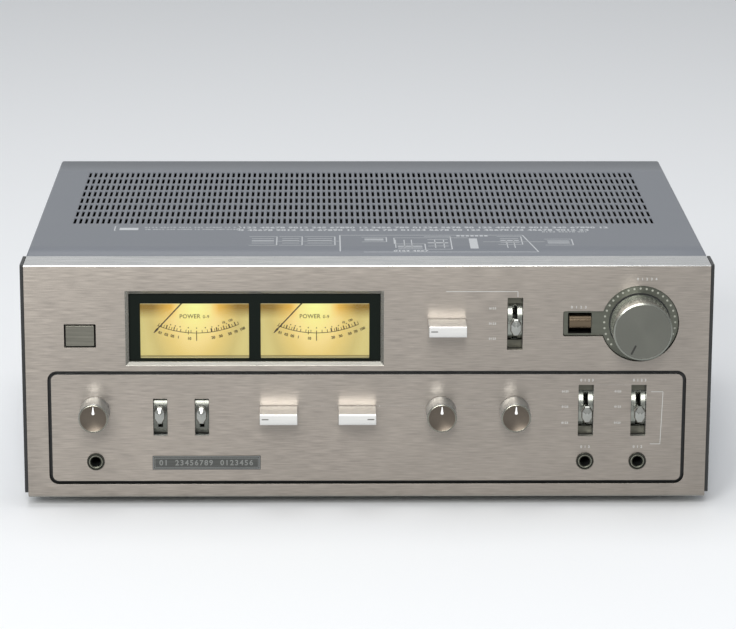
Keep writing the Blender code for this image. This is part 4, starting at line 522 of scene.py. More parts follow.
def carved(mesh, cutters):
    """The mesh less each cutter, all in the same place."""
    body = linked(mesh)
    tools = [linked(cutter) for cutter in cutters]
    for tool in tools:
        modifier = body.modifiers.new("cut", "BOOLEAN")
        modifier.operation = "DIFFERENCE"
        modifier.solver = "EXACT"
        modifier.object = tool
    result = evaluated(body)
    for tool in tools:
        bpy.data.objects.remove(tool)
    return result


def joined(name, meshes, bands=None):
    """Several meshes as one, each with its own material index where bands are given."""
    built = bmesh.new()
    for index, mesh in enumerate(meshes):
        start = len(built.faces)
        built.from_mesh(mesh)
        built.faces.ensure_lookup_table()
        if bands is not None:
            for face in built.faces[start:]:
                face.material_index = bands[index]
    result = bpy.data.meshes.new(name)
    built.to_mesh(result)
    built.free()
    return result


def lifted(mesh, z):
    """The mesh raised along its own Z, in mm."""
    mesh.transform(Matrix.Translation((0.0, 0.0, z * MM)))
    return mesh


def spun_round(mesh, angle, axis):
    mesh.transform(Matrix.Rotation(angle, 4, axis))
    return mesh


def piece(
    name, mesh, finishes, location=LEVEL, rotation=LEVEL, body=CABINET, replaces=(), edge=0.0, sharp=32
):
    """A piece of the amplifier that rides on a body, with rounded edges where an edge width is given."""
    item = linked(mesh, name)
    item.location = location
    item.rotation_euler = rotation
    for finish in [finishes] if isinstance(finishes, str) else finishes:
        mesh.materials.append(M[finish])
    mesh.shade_smooth()
    mesh.set_sharp_from_angle(angle=math.radians(sharp))
    if edge:
        bevel = item.modifiers.new("edges", "BEVEL")
        bevel.width = edge * MM
        bevel.segments = 2
        bevel.limit_method = "ANGLE"
        bevel.angle_limit = math.radians(sharp)
        bevel.harden_normals = True
    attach(item, body)
    if replaces:
        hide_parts(*replaces)
    return item


def dress(node, material):
    """A carried-over node in one material."""
    materials = frame["nodes"][node].data.materials
    materials.clear()
    materials.append(material)


class Print:
    """Flat marks in one plane, gathered into one mesh: points are x and y in that plane, in mm."""

    def __init__(self):
        self.points = []
        self.faces = []

    def polygon(self, outline):
        start = len(self.points)
        self.points += [(x, y, 0.0) for x, y in outline]
        self.faces.append(tuple(range(start, start + len(outline))))

    def bar(self, x, y, width, height):
        self.polygon([(x, y), (x + width, y), (x + width, y + height), (x, y + height)])

    def line(self, start, end, width):
        along = Vector((end[0] - start[0], end[1] - start[1]))
        side = Vector((-along.y, along.x)).normalized() * width / 2
        corners = ((start, 1), (start, -1), (end, -1), (end, 1))
        self.polygon([(point[0] + side.x * sign, point[1] + side.y * sign) for point, sign in corners])

    def path(self, points, width):
        for start, end in zip(points, points[1:]):
            self.line(start, end, width)

    def frame(self, x, y, width, height, line):
        self.path([(x, y), (x + width, y), (x + width, y + height), (x, y + height), (x, y)], line)

    def text(self, words, x, y, size, spacing=1.0, turn=0.0, bold=0.0):
        """Plain numbers and signs, centred on the point."""
        curve = bpy.data.curves.new("print", "FONT")
        curve.body = words
        curve.offset = bold
        curve.size = size
        curve.space_character = spacing
        curve.align_x = "CENTER"
        curve.align_y = "CENTER"
        curve.resolution_u = 3
        mesh = evaluated(linked(curve))
        start = len(self.points)
        turned_by = Matrix.Rotation(turn, 2)
        for vertex in mesh.vertices:
            flat = turned_by @ Vector((vertex.co.x, vertex.co.y))
            self.points.append((x + flat.x, y + flat.y, 0.0))
        for polygon in mesh.polygons:
            self.faces.append(tuple(start + index for index in polygon.vertices))

    def mesh(self, name):
        mesh = mesh_of(name, self.points, self.faces)
        with editing(mesh) as built:
            for face in built.faces:
                if face.normal.z < 0:
                    face.normal_flip()
        return mesh

    def put(self, name, finish, depth, rotation=OUT_OF_FRONT):
        piece(name, self.mesh(name), finish, at(0, depth, 0), rotation)


# ---- front


def lever_wells():
    """The openings of the lever switches, the upper one first."""
    wells = [rectangle(middle(name + "_switch"), 10.2, 35.6, 0.3, 2) for name in LEVERS]
    return wells + [rectangle(middle(name + "_switch"), 9.5, 25.6, 0.3, 2) for name in FILTERS]


def shaft_hole(node):
    return circle(middle(node), 3.4, 24)


def front_panel():
    """The large plate with turned-back edges, its openings and the chamfer round the meters."""
    top = PANEL_HEIGHT
    outline = arc((-1.6, 1.6), 1.6, -math.pi / 2, 0, 5)
    outline += arc((-0.9, top - 0.9), 0.9, 0, math.pi / 2, 6)
    outline += [(-26.7, top), (-26.7, top - 2.2), (-4.0, top - 2.2), (-4.0, 2.2), (-18.0, 2.2), (-18.0, 0.0)]
    panel = prism("front_panel_shell", outline, PANEL_WIDTH)
    groove = 2.3
    lower_opening = rectangle((0.0, LOWER_CENTRE), LOWER_WIDTH + 2 * groove, LOWER_HEIGHT + 2 * groove, 6.3)
    width, height = METER_OPENING
    holes = [
        lower_opening,
        rectangle(METERS, width, height),
        shaft_hole("function_bar"),
        rectangle(middle("power_button"), 21.0, 16.0, 0.5, 3),
        lever_wells()[0],
        keyhole(0.3),
    ]
    cutters = []
    for hole in holes:
        cutters.append(spun_round(lifted(slab("hole", [hole], PANEL_THICKNESS + 4.0), 2.0), QUARTER, "X"))
    slope = 2.3
    low = rectangle(METERS, width + 4 * slope, height + 4 * slope)
    high = rectangle(METERS, width - 0.01, height - 0.01)
    points = [(x, -slope, y) for x, y in low] + [(x, slope, y) for x, y in high]
    faces = [(0, 1, 2, 3), (4, 5, 6, 7)] + [(k, (k + 1) % 4, 4 + (k + 1) % 4, 4 + k) for k in range(4)]
    cutters.append(closed(mesh_of("chamfer", points, faces)))
    panel = edged(carved(panel, cutters), groove)
    # The third finish paints the groove's walls near-black: painted shadow.
    finishes = ["panel_brushed", "panel_edge", "shadow_gap", "panel_bevel"]
    replaced = ["front_panel"]
    piece("front_panel_shell", panel, finishes, at(0, 0, 0), replaces=replaced, edge=0.18)


def lower_panel():
    """The plate of the control row, with its own holes."""
    outlines = [rectangle((0.0, LOWER_CENTRE), LOWER_WIDTH, LOWER_HEIGHT, 4.0)] + lever_wells()[1:]
    for node in ("speakers_knob", "bass_turnover_bar", "treble_turnover_bar", "bass_knob", "treble_knob"):
        outlines.append(shaft_hole(node))
    for node in JACKS:
        outlines.append(circle(middle(node), 4.8, 32))
    mesh = edged(spun_round(slab("lower_panel_plate", outlines, PANEL_THICKNESS), QUARTER, "X"))
    finishes = ["panel_brushed", "panel_edge"]
    replaced = ["lower_panel"]
    piece("lower_panel_plate", mesh, finishes, at(0, 0, 0), replaces=replaced, edge=0.45)


def escutcheon():
    """The sunk keyhole plate, with its ring of dots and a near-black ring painted as the shadow round the
    knob's base.
    """
    x, height = centre = middle("volume_knob")
    hole = rectangle((middle("muting_paddle")[0], height), 15.6, 14.2, 0.4, 3)
    mesh = slab("escutcheon_plate", [keyhole(0.0), hole, circle(centre, 4.9, 24)], 3.6)
    sunk = 2.0
    replaced = ["volume_escutcheon"]
    place = at(0, sunk, 0)
    piece("escutcheon_plate", mesh, "dish_satin", place, OUT_OF_FRONT, CABINET, replaced, edge=0.12)
    dots = Print()
    ring = 23.7
    for index in range(27):
        angle = math.radians(-128 + 9.85 * index)
        dots.polygon(circle((x + ring * math.sin(angle), height + ring * math.cos(angle)), 0.72, 12))
    dots.put("volume_dots", "dot_ink", sunk - PRINT_LIFT)
    # A thin near-black ring behind the knob's base: painted shadow in the gap between knob and dish.
    shadow_ring = slab("volume_painted_shadow_ring", [circle(centre, 20.6, 96), circle(centre, 17.4, 96)], 0.2)
    piece("volume_painted_shadow_ring", shadow_ring, "shadow_gap", at(0, sunk - 0.15, 0), OUT_OF_FRONT)


def shaft(reach):
    """The last rows of a turned profile: a shaft from a reach back into its control."""
    return [(SHAFT_RADIUS, reach), (SHAFT_RADIUS, SHAFT_END), (0.0, SHAFT_END)]


def knob(node):
    """A small turned knob with a ribbed side, a spun face and a white index let into it."""
    x, height = middle(node)
    front = 18.6
    profile = [(0.0, front - 0.1, 2), (8.8, front - 0.1, 1), (8.9, front, 1), (9.8, 18.2), (9.95, 17.9)]
    profile += [(10.0, 17.4, 0, 0.3), (10.05, 3.2, 0, 0.3), (10.1, 2.4), (10.1, 1.1), (9.9, 0.8)]
    mesh = turned(node + "_cap", profile + shaft(0.8), 128)
    finishes = ["knob_side", "knob_rim", "knob_face"]
    piece(node + "_cap", mesh, finishes, at(x, 0, height), OUT_OF_FRONT, node, [node], sharp=50)
    outline = arc((0.0, 3.6), 0.95, math.pi, math.tau, 8)
    outline += [(0.6, 5.2), (0.28, 8.0), (-0.28, 8.0), (-0.6, 5.2)]
    index = slab("index", [outline], 0.2)
    piece(node + "_index", index, "white_ink", at(x, -front, height), OUT_OF_FRONT, node)


def volume_knob():
    """The large turned knob with a bright chamfered rim and a dark index on its face."""
    node = "volume_knob"
    x, height = middle(node)
    face = 21.5
    profile = [(0.0, face, 2), (18.3, face, 1), (18.4, face + 0.15, 1), (19.5, 21.15, 1), (19.6, 20.9)]
    profile += [(19.65, 20.2), (19.75, 1.8), (19.8, 1.2), (19.8, -1.2), (19.6, -1.4)]
    mesh = turned("volume_cap", profile + shaft(-1.4), 160)
    finishes = ["volume_side", "volume_rim", "volume_face"]
    piece("volume_cap", mesh, finishes, at(x, 0, height), OUT_OF_FRONT, node, [node], sharp=28)
    index = slab("index", [rectangle((0.0, 13.7), 1.3, 7.0, 0.6, 5)], 0.2)
    index = spun_round(index, math.radians(-206), "Z")
    piece("volume_index", index, "index_ink", at(x, -face - 0.02, height), OUT_OF_FRONT, node)


def bar_knob(node, side):
    """A bar knob with a lip along its front edges and a dark mark near one end; its top faces take a lighter
    copy of its metal, painted light.
    """
    pivot = PIVOTS[node]
    half = 3.7
    reach = 21.0
    radius = 0.6
    lip = 0.15
    outline = [(0.8, -half), (reach, -half)]
    outline += arc((reach, radius - half), radius, -math.pi / 2, 0, 4)[1:]
    outline += arc((reach, half - radius), radius, 0, math.pi / 2, 4)
    outline += [(19.6, half), (19.3, half - lip), (0.8, half - lip)]
    stem = spun_round(turned("shaft", shaft(1.0), 24), QUARTER, "X")
    mesh = joined(node + "_body", [prism("bar", outline, 25.0), stem])
    # Faces that look up get the lighter copy: painted light on the tops.
    for polygon in mesh.polygons:
        polygon.material_index = 1 if polygon.normal.z > 0.9 else 0
    piece(node + "_body", mesh, ["bar_satin", "bar_top_painted_light"], pivot, LEVEL, node, [node], edge=0.35)
    mark = slab("mark", [rectangle((side * 8.9, 0.2), 4.6, 0.75, 0.3, 4)], 0.15)
    front = pivot - Vector((0.0, (reach + radius + 0.03) * MM, 0.0))
    piece(node + "_mark", mark, "bar_mark", front, OUT_OF_FRONT, node)


def lever(node, tilt):
    """A toggle lever: a flat arm from its hub and a flared, faceted head."""
    turn = math.asin(2.5 / 3.6)
    arm = [(21.0, -2.5), (21.0, 2.5)] + arc((0.0, 0.0), 3.6, turn, math.tau - turn, 24)
    arm_mesh = carved(prism("arm", arm, 2.1), [pivot_hole(4.0)])
    rows = ((0.0, 32.4), (0.8, 32.4), (3.1, 31.3), (3.65, 30.3), (3.7, 28.2))
    rows += ((3.45, 25.8), (2.8, 23.6), (2.0, 21.6), (1.7, 20.2), (0.0, 20.2))
    half_side = math.pi / 8
    head = turned("head", [(radius / math.cos(half_side), reach) for radius, reach in rows], 8)
    head = spun_round(head, half_side, "Z")
    head.transform(Matrix.Rotation(QUARTER, 4, "X") @ Matrix.Diagonal((1.0, 1.6, 1.0, 1.0)))
    name = node + "_chrome"
    mesh = joined(name, [arm_mesh, head])
    rotation = (-math.radians(tilt), 0.0, 0.0)
    piece(name, mesh, "chrome", PIVOTS[node], rotation, node, [node], edge=0.12, sharp=12)


def pivot_hole(reach):
    mesh = turned("hole", [(0.0, reach), (1.3, reach), (1.3, -reach), (0.0, -reach)], 24)
    return closed(spun_round(mesh, QUARTER, "Y"))


def barrel(name, width, height, slot_reach, bend, finish="barrel_chrome"):
    """The switch in a lever's well: a polished round front with a slot for the lever, and its plate."""
    pivot = PIVOTS[name + "_lever"]
    half = height / 2
    drum = min(half, 14.5)
    edge = math.asin(drum / bend)
    behind = [(-8.0, drum), (-8.0, -drum)]
    axis = (19.0 - bend, 0.0)
    slot = prism_between("slot", (-1.6, -4.2, -slot_reach), (1.6, 40.0, slot_reach))
    body = carved(prism("body", arc(axis, bend, -edge, edge, 48) + behind, width), [slot])
    across, up = width / 2 + 4.0, half + 4.0
    plate = prism_between("plate", (-across, 12.8, -up), (across, 14.3, up))
    inner = prism("inner", arc(axis, bend - 0.02, -edge, edge, 48) + behind, width - 0.1)
    mesh = joined(name + "_barrel", [body, carved(plate, [inner])], [0, 1])
    finishes = [finish, "well_plate"]
    replaced = [name + "_switch"]
    piece(name + "_barrel", mesh, finishes, pivot, LEVEL, CABINET, replaced, edge=0.12)


def paddle():
    """The wide paddle with a round front, on an arm from its pivot."""
    outline = [(18.0, -3.2)]
    outline += arc((20.0, 0.8), 4.0, -math.pi / 2, 0, 12)
    outline += arc((20.0, 2.0), 4.0, 0, math.pi / 2, 12)
    outline += [(18.0, 6.0), (13.6, 1.6)]
    turn = math.asin(1.6 / 3.6)
    outline += arc((0.0, 0.0), 3.6, turn, math.tau - turn, 24)
    outline += [(16.4, -1.6)]
    mesh = carved(prism("paddle_bar", outline, 14.6), [pivot_hole(9.0)])
    node = "muting_paddle"
    piece("paddle_bar", mesh, "paddle_dark", PIVOTS[node], LEVEL, node, [node], edge=0.25)


def power_button():
    """The oblong button on its stem."""
    node = "power_button"
    x, height = middle(node)
    cap = slab("cap", [rectangle((0.0, 0.0), 19.2, 14.2, 0.5, 3)], 9.0)
    stem = spun_round(prism_between("stem", (-2.5, -35.0, -2.5), (2.5, -8.0, 2.5)), -QUARTER, "X")
    mesh = joined("button_cap", [cap, stem])
    place = at(x, 0, height)
    piece("button_cap", mesh, "button_brushed", place, OUT_OF_FRONT, node, [node], edge=0.6)


def jack(node):
    """A bushing with a bright nut ring and a dark insulator down its bore."""
    x, height = middle(node)
    profile = [(0.0, -31.0, 2), (3.2, -31.0, 2), (3.2, 0.4), (3.45, 1.0), (4.1, 1.25, 1), (4.5, 1.15, 1)]
    profile += [(4.75, 0.75, 2), (4.95, 0.75), (5.2, 1.3), (5.6, 1.3), (5.9, 0.9), (5.9, 0.3), (4.5, 0.3)]
    profile += [(4.5, -6.1, 2), (7.0, -6.1, 2), (7.0, -34.0, 2), (0.0, -34.0, 2)]
    mesh = turned(node + "_bushing", profile, 64)
    finishes = ["jack_metal", "jack_ring", "black_plastic"]
    piece(node + "_bushing", mesh, finishes, at(x, 0, height), OUT_OF_FRONT, CABINET, [node])


def badge():
    """The plate at the lower left of the centre, with a raised double frame. front_print has its numbers."""
    plate = slab("badge_plate", [rectangle(BADGE, 72.5, 9.7, 0.3, 2)], 0.5)
    piece("badge_plate", plate, "badge_brushed", at(0, -0.5, 0), OUT_OF_FRONT, edge=0.12)
    for name, width, height, line, thickness, reach in (
        ("badge_rim", 71.7, 8.9, 0.4, 0.12, 0.6),
        ("badge_inner", 69.6, 6.8, 0.3, 0.1, 0.57),
    ):
        outlines = [rectangle(BADGE, width - less, height - less, 0.2, 2) for less in (0.0, 2 * line)]
        piece(name, slab(name, outlines, thickness), "badge_line", at(0, -reach, 0), OUT_OF_FRONT)


def front_print():
    """Faint plain numbers and lines beside the controls and on the badge."""
    marks = Print()
    size, small_size, bold, line = 2.4, 1.9, 0.05, 0.35
    x, height = middle("volume_knob")
    marks.text("0 1 2 3 4", x + 4.0, height + 30.6, size, 1.5, 0.0, bold)
    marks.text("0 1 2 3", middle("muting_paddle")[0] - 1.0, height + 11.4, size, 1.5, 0.0, bold)
    x = middle("mode_switch")[0]
    for level in (10.6, 0.2, -10.2):
        marks.text("0123", x - 15.0, UPPER_ROW + level, small_size, 1.3, 0.0, bold)
    marks.path([(x - 46.0, 142.6), (x + 1.6, 142.6), (x + 1.6, 138.8)], line)
    for node in ("tape_switch", "copy_switch"):
        x = middle(node)[0]
        marks.text("0 1 2 3", x + 0.4, LOWER_ROW + 21.0, size, 1.3, 0.0, bold)
        marks.text("0 1 2", x, 35.0, size, 1.3, 0.0, bold)
        for level in (13.2, 2.6, -8.6):
            marks.text("0123", x - 14.0, LOWER_ROW + level, small_size, 1.2, 0.0, bold)
    marks.path([(x + 8.2, 73.4), (x + 16.2, 73.4), (x + 15.0, 37.0), (x + 8.2, 37.0)], line)
    marks.put("front_print", "pale_ink", -PRINT_LIFT)
    marks = Print()
    marks.text("01  23456789  0123456", BADGE[0] - 0.25, BADGE[1] - 0.15, 5.2, 1.25, 0.0, 0.12)
    marks.put("badge_print", "badge_ink", -0.5 - PRINT_LIFT)


# ---- meters


def meter_marks(side, x):
    """The printed scale of one dial: a shallow arc with ticks, numbers below and a row of dots above."""
    marks = Print()
    middle_x = x + 1.0
    curve = 69.0
    base = 110.8

    def point(along, rise):
        """A point a sideways distance along the scale's arc and a rise above it."""
        angle = along / curve
        return (middle_x + (curve - rise) * math.sin(angle), base + curve - (curve - rise) * math.cos(angle))

    def tick(along, low, high, width):
        marks.line(point(along, low), point(along, high), width)

    marks.path([point(along, 0.0) for along in range(-27, 31, 2)], 0.46)
    thin = (-26.2, -22.4, -18.8, -17.0, -13.4, -10.8, -7.2, -3.8)
    for along in thin + (3.8, 7.4, 12.4, 15.0, 17.0, 20.6, 24.6, 29.0):
        tick(along, 0.0, 2.0, 0.42)
    broad = ((-24.4, 0.9), (-20.6, 0.8), (-15.4, 0.7))
    for along, width in broad + ((10.2, 1.0), (13.8, 0.8), (18.8, 0.8), (22.6, 0.9), (26.8, 0.8)):
        tick(along, 0.2, 2.6, width)
    tick(0.0, -5.4, 1.6, 0.55)
    tick(-5.4, -1.2, 1.6, 0.5)
    for along in (-18.4, -15.0, -11.6, -5.8, 0.0, 6.2, 10.8, 15.6, 21.4):
        marks.polygon(circle(point(along, 3.4), 0.42, 10))
    numbers = ((-23.4, "01"), (-19.4, "02"), (-15.4, "05"), (-11.6, "1"), (-4.6, "10"))
    numbers += ((10.6, "20"), (15.4, "30"), (21.4, "50"), (25.4, "70"), (30.0, "100"))
    for along, word in numbers:
        marks.text(word, *point(along, -4.0), 2.5, 1.0, along / curve, 0.12)
    for along, word in ((19.6, "10"), (24.8, "120")):
        marks.text(word, *point(along, 4.6), 2.0, 1.0, along / curve, 0.1)
    marks.put("meter_scale_" + side, "scale_ink", DIAL_DEPTH)
    title = Print()
    title.text("POWER", x - 3.4, 122.2, 3.9, 1.06, 0.0, 0.07)
    title.text("0-9", x + 7.4, 121.9, 3.0, 1.1, 0.0, 0.05)
    title.put("meter_title_" + side, "title_ink", DIAL_DEPTH)


def needle(side):
    """A tapered pointer on a capped hub, hanging at the low end of its scale."""
    node = "meter_needle_" + side
    cap = [(0.0, 0.0), (1.8, 0.0), (2.2, -0.4), (2.2, -1.6)]
    hub = turned("hub", cap + [(0.8, -1.6), (0.8, -9.9), (0.0, -9.9)], 32)
    half = [(0.6, 5.0), (0.5, 0.0), (0.34, -36.0), (0.75, -37.4), (0.3, -40.6)]
    pointer = lifted(slab("pointer", [[(-x, y) for x, y in half] + half[::-1]], 0.4), -0.6)
    mesh = joined(node + "_pointer", [hub, spun_round(pointer, -math.radians(42.6), "Z")])
    piece(node + "_pointer", mesh, "needle_paint", PIVOTS[node], OUT_OF_FRONT, node, [node])


def meters():
    """The dials glowing with painted lamplight, their print and needles, the mask before them and the lamps
    above them.
    """
    for side in ("left", "right"):
        node = "meter_dial_" + side
        low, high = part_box(node)
        x = (low.x + high.x) / 2 / MM
        dress(node, painted_glow_dial("dial_card_painted_glow_" + side, x, METER_LAMP_HEIGHT))
        meter_marks(side, x)
        needle(side)
    outlines = [rectangle((METERS[0], 120.9), 177.0, 65.3)]
    outlines += [rectangle((x, 114.4), 72.4, 38.0, 0.5, 3) for x in (-115.1, -34.9)]
    mesh = slab("meter_mask", outlines, 3.0)
    place = at(0, 4.3, 0)
    replaced = ["meter_frame"]
    piece("meter_mask", mesh, "frame_plastic", place, OUT_OF_FRONT, CABINET, replaced, edge=0.35)
    glow = Finish("lamp_glass", (1.0, 0.86, 0.55), 0.3)
    glow.set("Emission Color", (1.0, 0.78, 0.36, 1.0))
    glow.set("Emission Strength", 1.2)
    glow.link(glow.ramp(glow.noise(glow.place(), 500.0), 0.2, 0.4), "Roughness")
    dress("meter_lamp_board", glow.material)


# ---- cover


def cover_mesh():
    """A folded sheet: its cross-section run back over rows of slots, each slot cut into its own cell."""
    columns = 103
    rows = 8
    left = -205.1
    pitch = 3.969
    row_pitch = 22.15
    first_row = 135.5
    half_slot = 0.95
    half_length = 8.9
    straight = half_length - half_slot
    bend = 2.0
    section = [(-COVER_HALF_WIDTH, 4.0), (-COVER_HALF_WIDTH, 60.0), (-COVER_HALF_WIDTH, 110.0)]
    section += arc((bend - COVER_HALF_WIDTH, COVER_TOP - bend), bend, math.pi, math.pi / 2, 6)
    first_column = len(section)
    section += [(left + pitch * index, COVER_TOP) for index in range(columns + 1)]
    section += [(-x, height) for x, height in reversed(section[:first_column])]
    depths = [COVER_FRONT, 60.0, 95.0]
    first_depth = len(depths)
    for row in range(rows):
        centre = first_row + row * row_pitch
        depths += [centre - row_pitch / 2, centre - straight, centre + straight]
    depths += [first_row + (rows - 0.5) * row_pitch, COVER_BACK]
    width = len(section)
    points = [(x, depth, height) for depth in depths for x, height in section]
    faces = []

    def corner(row, column):
        return row * width + column

    rim = [(-0.42, -half_length), (0.42, -half_length), (half_slot, -straight), (half_slot, straight)]
    rim += [(-across, -along) for across, along in rim]
    cell = ((0, 0), (0, 1), (1, 1), (2, 1), (3, 1), (3, 0), (2, 0), (1, 0))
    plain = ((0, 0), (0, 1), (1, 1), (1, 0))
    pierced = set()
    for row in range(rows):
        for column in range(columns):
            near = first_depth + 3 * row
            side = first_column + column
            pierced.update((near + strip, side) for strip in range(3))
            x = left + pitch * (column + 0.5)
            centre = first_row + row * row_pitch
            start = len(points)
            points += [(x + across, centre + along, COVER_TOP) for across, along in rim]
            outer = [corner(near + back, side + over) for back, over in cell]
            for index in range(8):
                after = (index + 1) % 8
                faces.append((outer[index], outer[after], start + after, start + index))
    for row in range(len(depths) - 1):
        for column in range(width - 1):
            if (row, column) not in pierced:
                faces.append(tuple(corner(row + back, column + over) for back, over in plain))
    return mesh_of("cover_sheet", points, faces)


def top_cover():
    """The folded sheet given its thickness, with rows of plain numbers and a made-up diagram on it."""
    replaced = ["top_cover"]
    cover = piece("cover_sheet", cover_mesh(), "cover_paint", at(0, 0, 0), replaces=replaced, sharp=60)
    sheet = cover.modifiers.new("sheet", "SOLIDIFY")
    sheet.thickness = SHEET * MM
    sheet.offset = -1
    marks = Print()
    line = 0.8
    marks.path([(-172.6, 118.8), (-173.8, 118.8), (-173.8, 104.0), (-172.4, 104.0)], line)
    marks.path([(-88.6, 118.8), (-87.4, 118.8), (-87.4, 104.0), (-88.6, 104.0)], line)
    marks.bar(-170.5, 106.0, 13.0, 7.0)
    digits = "0123 45678 9012 345 67890 12 3456 789 01234 5678 90 123 4567"
    marks.text(digits[:31], -120.5, 114.0, 4.0, 1.15, 0.0, 0.12)
    marks.text(digits[8:42], -120.5, 108.0, 4.0, 1.05, 0.0, 0.12)
    marks.text(digits + digits[8:28], 40.0, 113.4, 6.4, 1.1, 0.0, 0.3)
    marks.text(digits[3:] + digits[:18], 34.0, 105.6, 6.4, 1.1, 0.0, 0.3)
    marks.text(digits[:14], 138.0, 100.0, 4.4, 1.1, 0.0, 0.1)
    blocks = (
        (-80.0, 60.0, 19.0, 26.0),
        (-59.2, 60.0, 15.5, 26.0),
        (-42.0, 60.0, 20.7, 26.0),
        (-3.0, 70.0, 17.0, 14.0),
        (19.3, 46.0, 20.7, 18.0),
        (40.0, 48.0, 18.0, 38.0),
        (90.0, 62.0, 16.6, 24.0),
        (122.0, 60.0, 19.0, 18.0),
    )
    for x, depth, width, length in blocks:
        marks.line((x, depth + length), (x + width, depth + length), line)
        marks.line((x, depth), (x + width, depth), line)
        marks.line((x + width, depth), (x + width, depth + length), line)
        for share, thickness in ((0.25, 1.0), (0.5, 2.4), (0.75, 1.0)):
            middle_depth = depth + length * share
            marks.line((x + 2.0, middle_depth), (x + width - 2.0, middle_depth), thickness)
    marks.path([(-17.8, 42.0), (-17.8, 90.0), (108.0, 90.0), (116.0, 40.0), (-2.0, 40.0)], 0.9)
    marks.path([(19.3, 64.0), (19.3, 82.0), (70.0, 82.0)], line)
    marks.line((-61.0, 72.0), (-17.8, 72.0), line)
    marks.line((80.0, 70.0), (122.0, 70.0), line)
    for index in range(7):
        marks.bar(62.5 + 3.2 * index, 86.0, 2.2, 3.6)
    marks.bar(70.5, 50.0, 5.6, 30.0)
    marks.text("0123 4567", 30.0, 43.0, 5.0, 1.1, 0.0, 0.25)
    for x in (20.0, 26.0, 31.0, 47.0, 53.0, 96.0, 101.0):
        marks.line((x, 52.0), (x, 76.0), 0.7)
    mesh = marks.mesh("cover_print")
    piece("cover_print", mesh, "cover_ink", at(0, 0, COVER_TOP + PRINT_LIFT))


# ---- carried-over nodes


def spaced(centre, pitch, count):
    """Evenly spaced places about a centre."""
    return [centre + pitch * (index - (count - 1) / 2) for index in range(count)]


INPUT_COLUMNS = spaced(INPUTS[0], 19.0, 6)
SPEAKER_COLUMNS = spaced(SPEAKERS[0], 24.0, 4)
OUTLET_COLUMNS = spaced(150.0, 30.0, 3)


def screw_mesh():
    """A pan head with a cross recess, standing 1.2 mm off its sheet."""
    profile = [(0.0, 1.2), (1.8, 1.15), (2.8, 0.8), (3.2, 0.2), (3.2, 0.0), (0.0, 0.0)]
    head = closed(turned("head", profile, 24))
    cross = [slab("cross", [rectangle((0.0, 0.0), *size)], 2.0) for size in ((3.4, 0.7), (0.7, 3.4))]
    return carved(head, [lifted(cutter, 2.6) for cutter in cross])


def screws():
    """The cover's screws at its sides and rear, and those of the rear panel."""
    head = screw_mesh()
    head.materials.append(M["nickel_plate"])
    places = []
    for side in (-1, 1):
        turn = (QUARTER, 0.0, QUARTER * side)
        places += [(at(side * COVER_HALF_WIDTH, depth, 26.0), turn) for depth in (62.0, 306.0)]
    for x in (-205.0, -70.0, 70.0, 205.0):
        places += [(at(x, REAR, height), OUT_OF_BACK) for height in (150.0, 14.0)]
    for index, (place, turn) in enumerate(places):
        item = linked(head, f"screw_{index}")
        item.location = place
        item.rotation_euler = turn
        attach(item, CABINET)


def input_plate():
    """The rear's laminate plate with two rows of pin jacks, the lower row's insulators red."""
    plate = slab("plate", [rectangle(INPUTS, 124.6, 51.6, 2.0)], 2.6)
    place = at(0, REAR - 0.1, 0)
    replaced = ["input_terminals"]
    piece("input_plate", plate, "phenolic_board", place, OUT_OF_BACK, CABINET, replaced, edge=0.3)
    shell = [(3.1, 8.0), (3.3, 8.4), (3.5, 8.5), (3.9, 8.5), (4.1, 8.2), (4.1, 1.4), (5.6, 1.2), (5.6, -1.0)]
    jack_rows = [(0.0, 3.0), (1.7, 3.0), (1.7, 7.8, 1)]
    jack_rows += [(radius, reach, 2) for radius, reach in shell + [(0.0, -1.0)]]
    for name, rise, insulator in (("upper", 11.0, "white_plastic"), ("lower", -11.0, "red_plastic")):
        jacks = [turned("jack", jack_rows, 32, (x, INPUTS[1] + rise)) for x in INPUT_COLUMNS]
        # The first finish makes each jack's bore near-black: painted shade inside the hole.
        finishes = ["shadow_gap", insulator, "nickel_plate"]
        mesh = joined("pin_jacks", jacks)
        piece("pin_jacks_" + name, mesh, finishes, at(0, REAR, 0), OUT_OF_BACK)


def speaker_strip():
    """The strip of speaker terminals, with ribbed caps, red and black."""
    front = REAR + 6.0
    rise = 10.0
    strip = slab("strip", [rectangle(SPEAKERS, 103.6, 43.6, 2.0)], 6.0)
    outlines = [rectangle(SPEAKERS, 99.0, 39.0, 1.2)]
    for x in SPEAKER_COLUMNS:
        outlines += [circle((x, SPEAKERS[1] + level), 4.7, 32) for level in (-rise, rise)]
    mesh = joined("speaker_strip", [strip, lifted(slab("face", outlines, 0.5), 0.5)], [0, 1])
    finishes = ["black_plastic", "phenolic_board"]
    replaced = ["speaker_terminals"]
    piece("speaker_strip", mesh, finishes, at(0, front, 0), OUT_OF_BACK, CABINET, replaced, edge=0.3)
    ribs = [(3.9, 4.2, 0, 0.25), (4.0, 0.8, 0, 0.25)]
    cap = [(0.0, 5.0), (2.6, 5.0), (3.6, 4.7)] + ribs + [(3.6, 0.0), (0.0, 0.0)]
    for name, level, finish in (("upper", rise, "red_plastic"), ("lower", -rise, "black_plastic")):
        name = "terminal_caps_" + name
        caps = [turned("cap", cap, 48, (x, SPEAKERS[1] + level)) for x in SPEAKER_COLUMNS]
        piece(name, joined(name, caps), finish, at(0, front + 0.25, 0), OUT_OF_BACK)


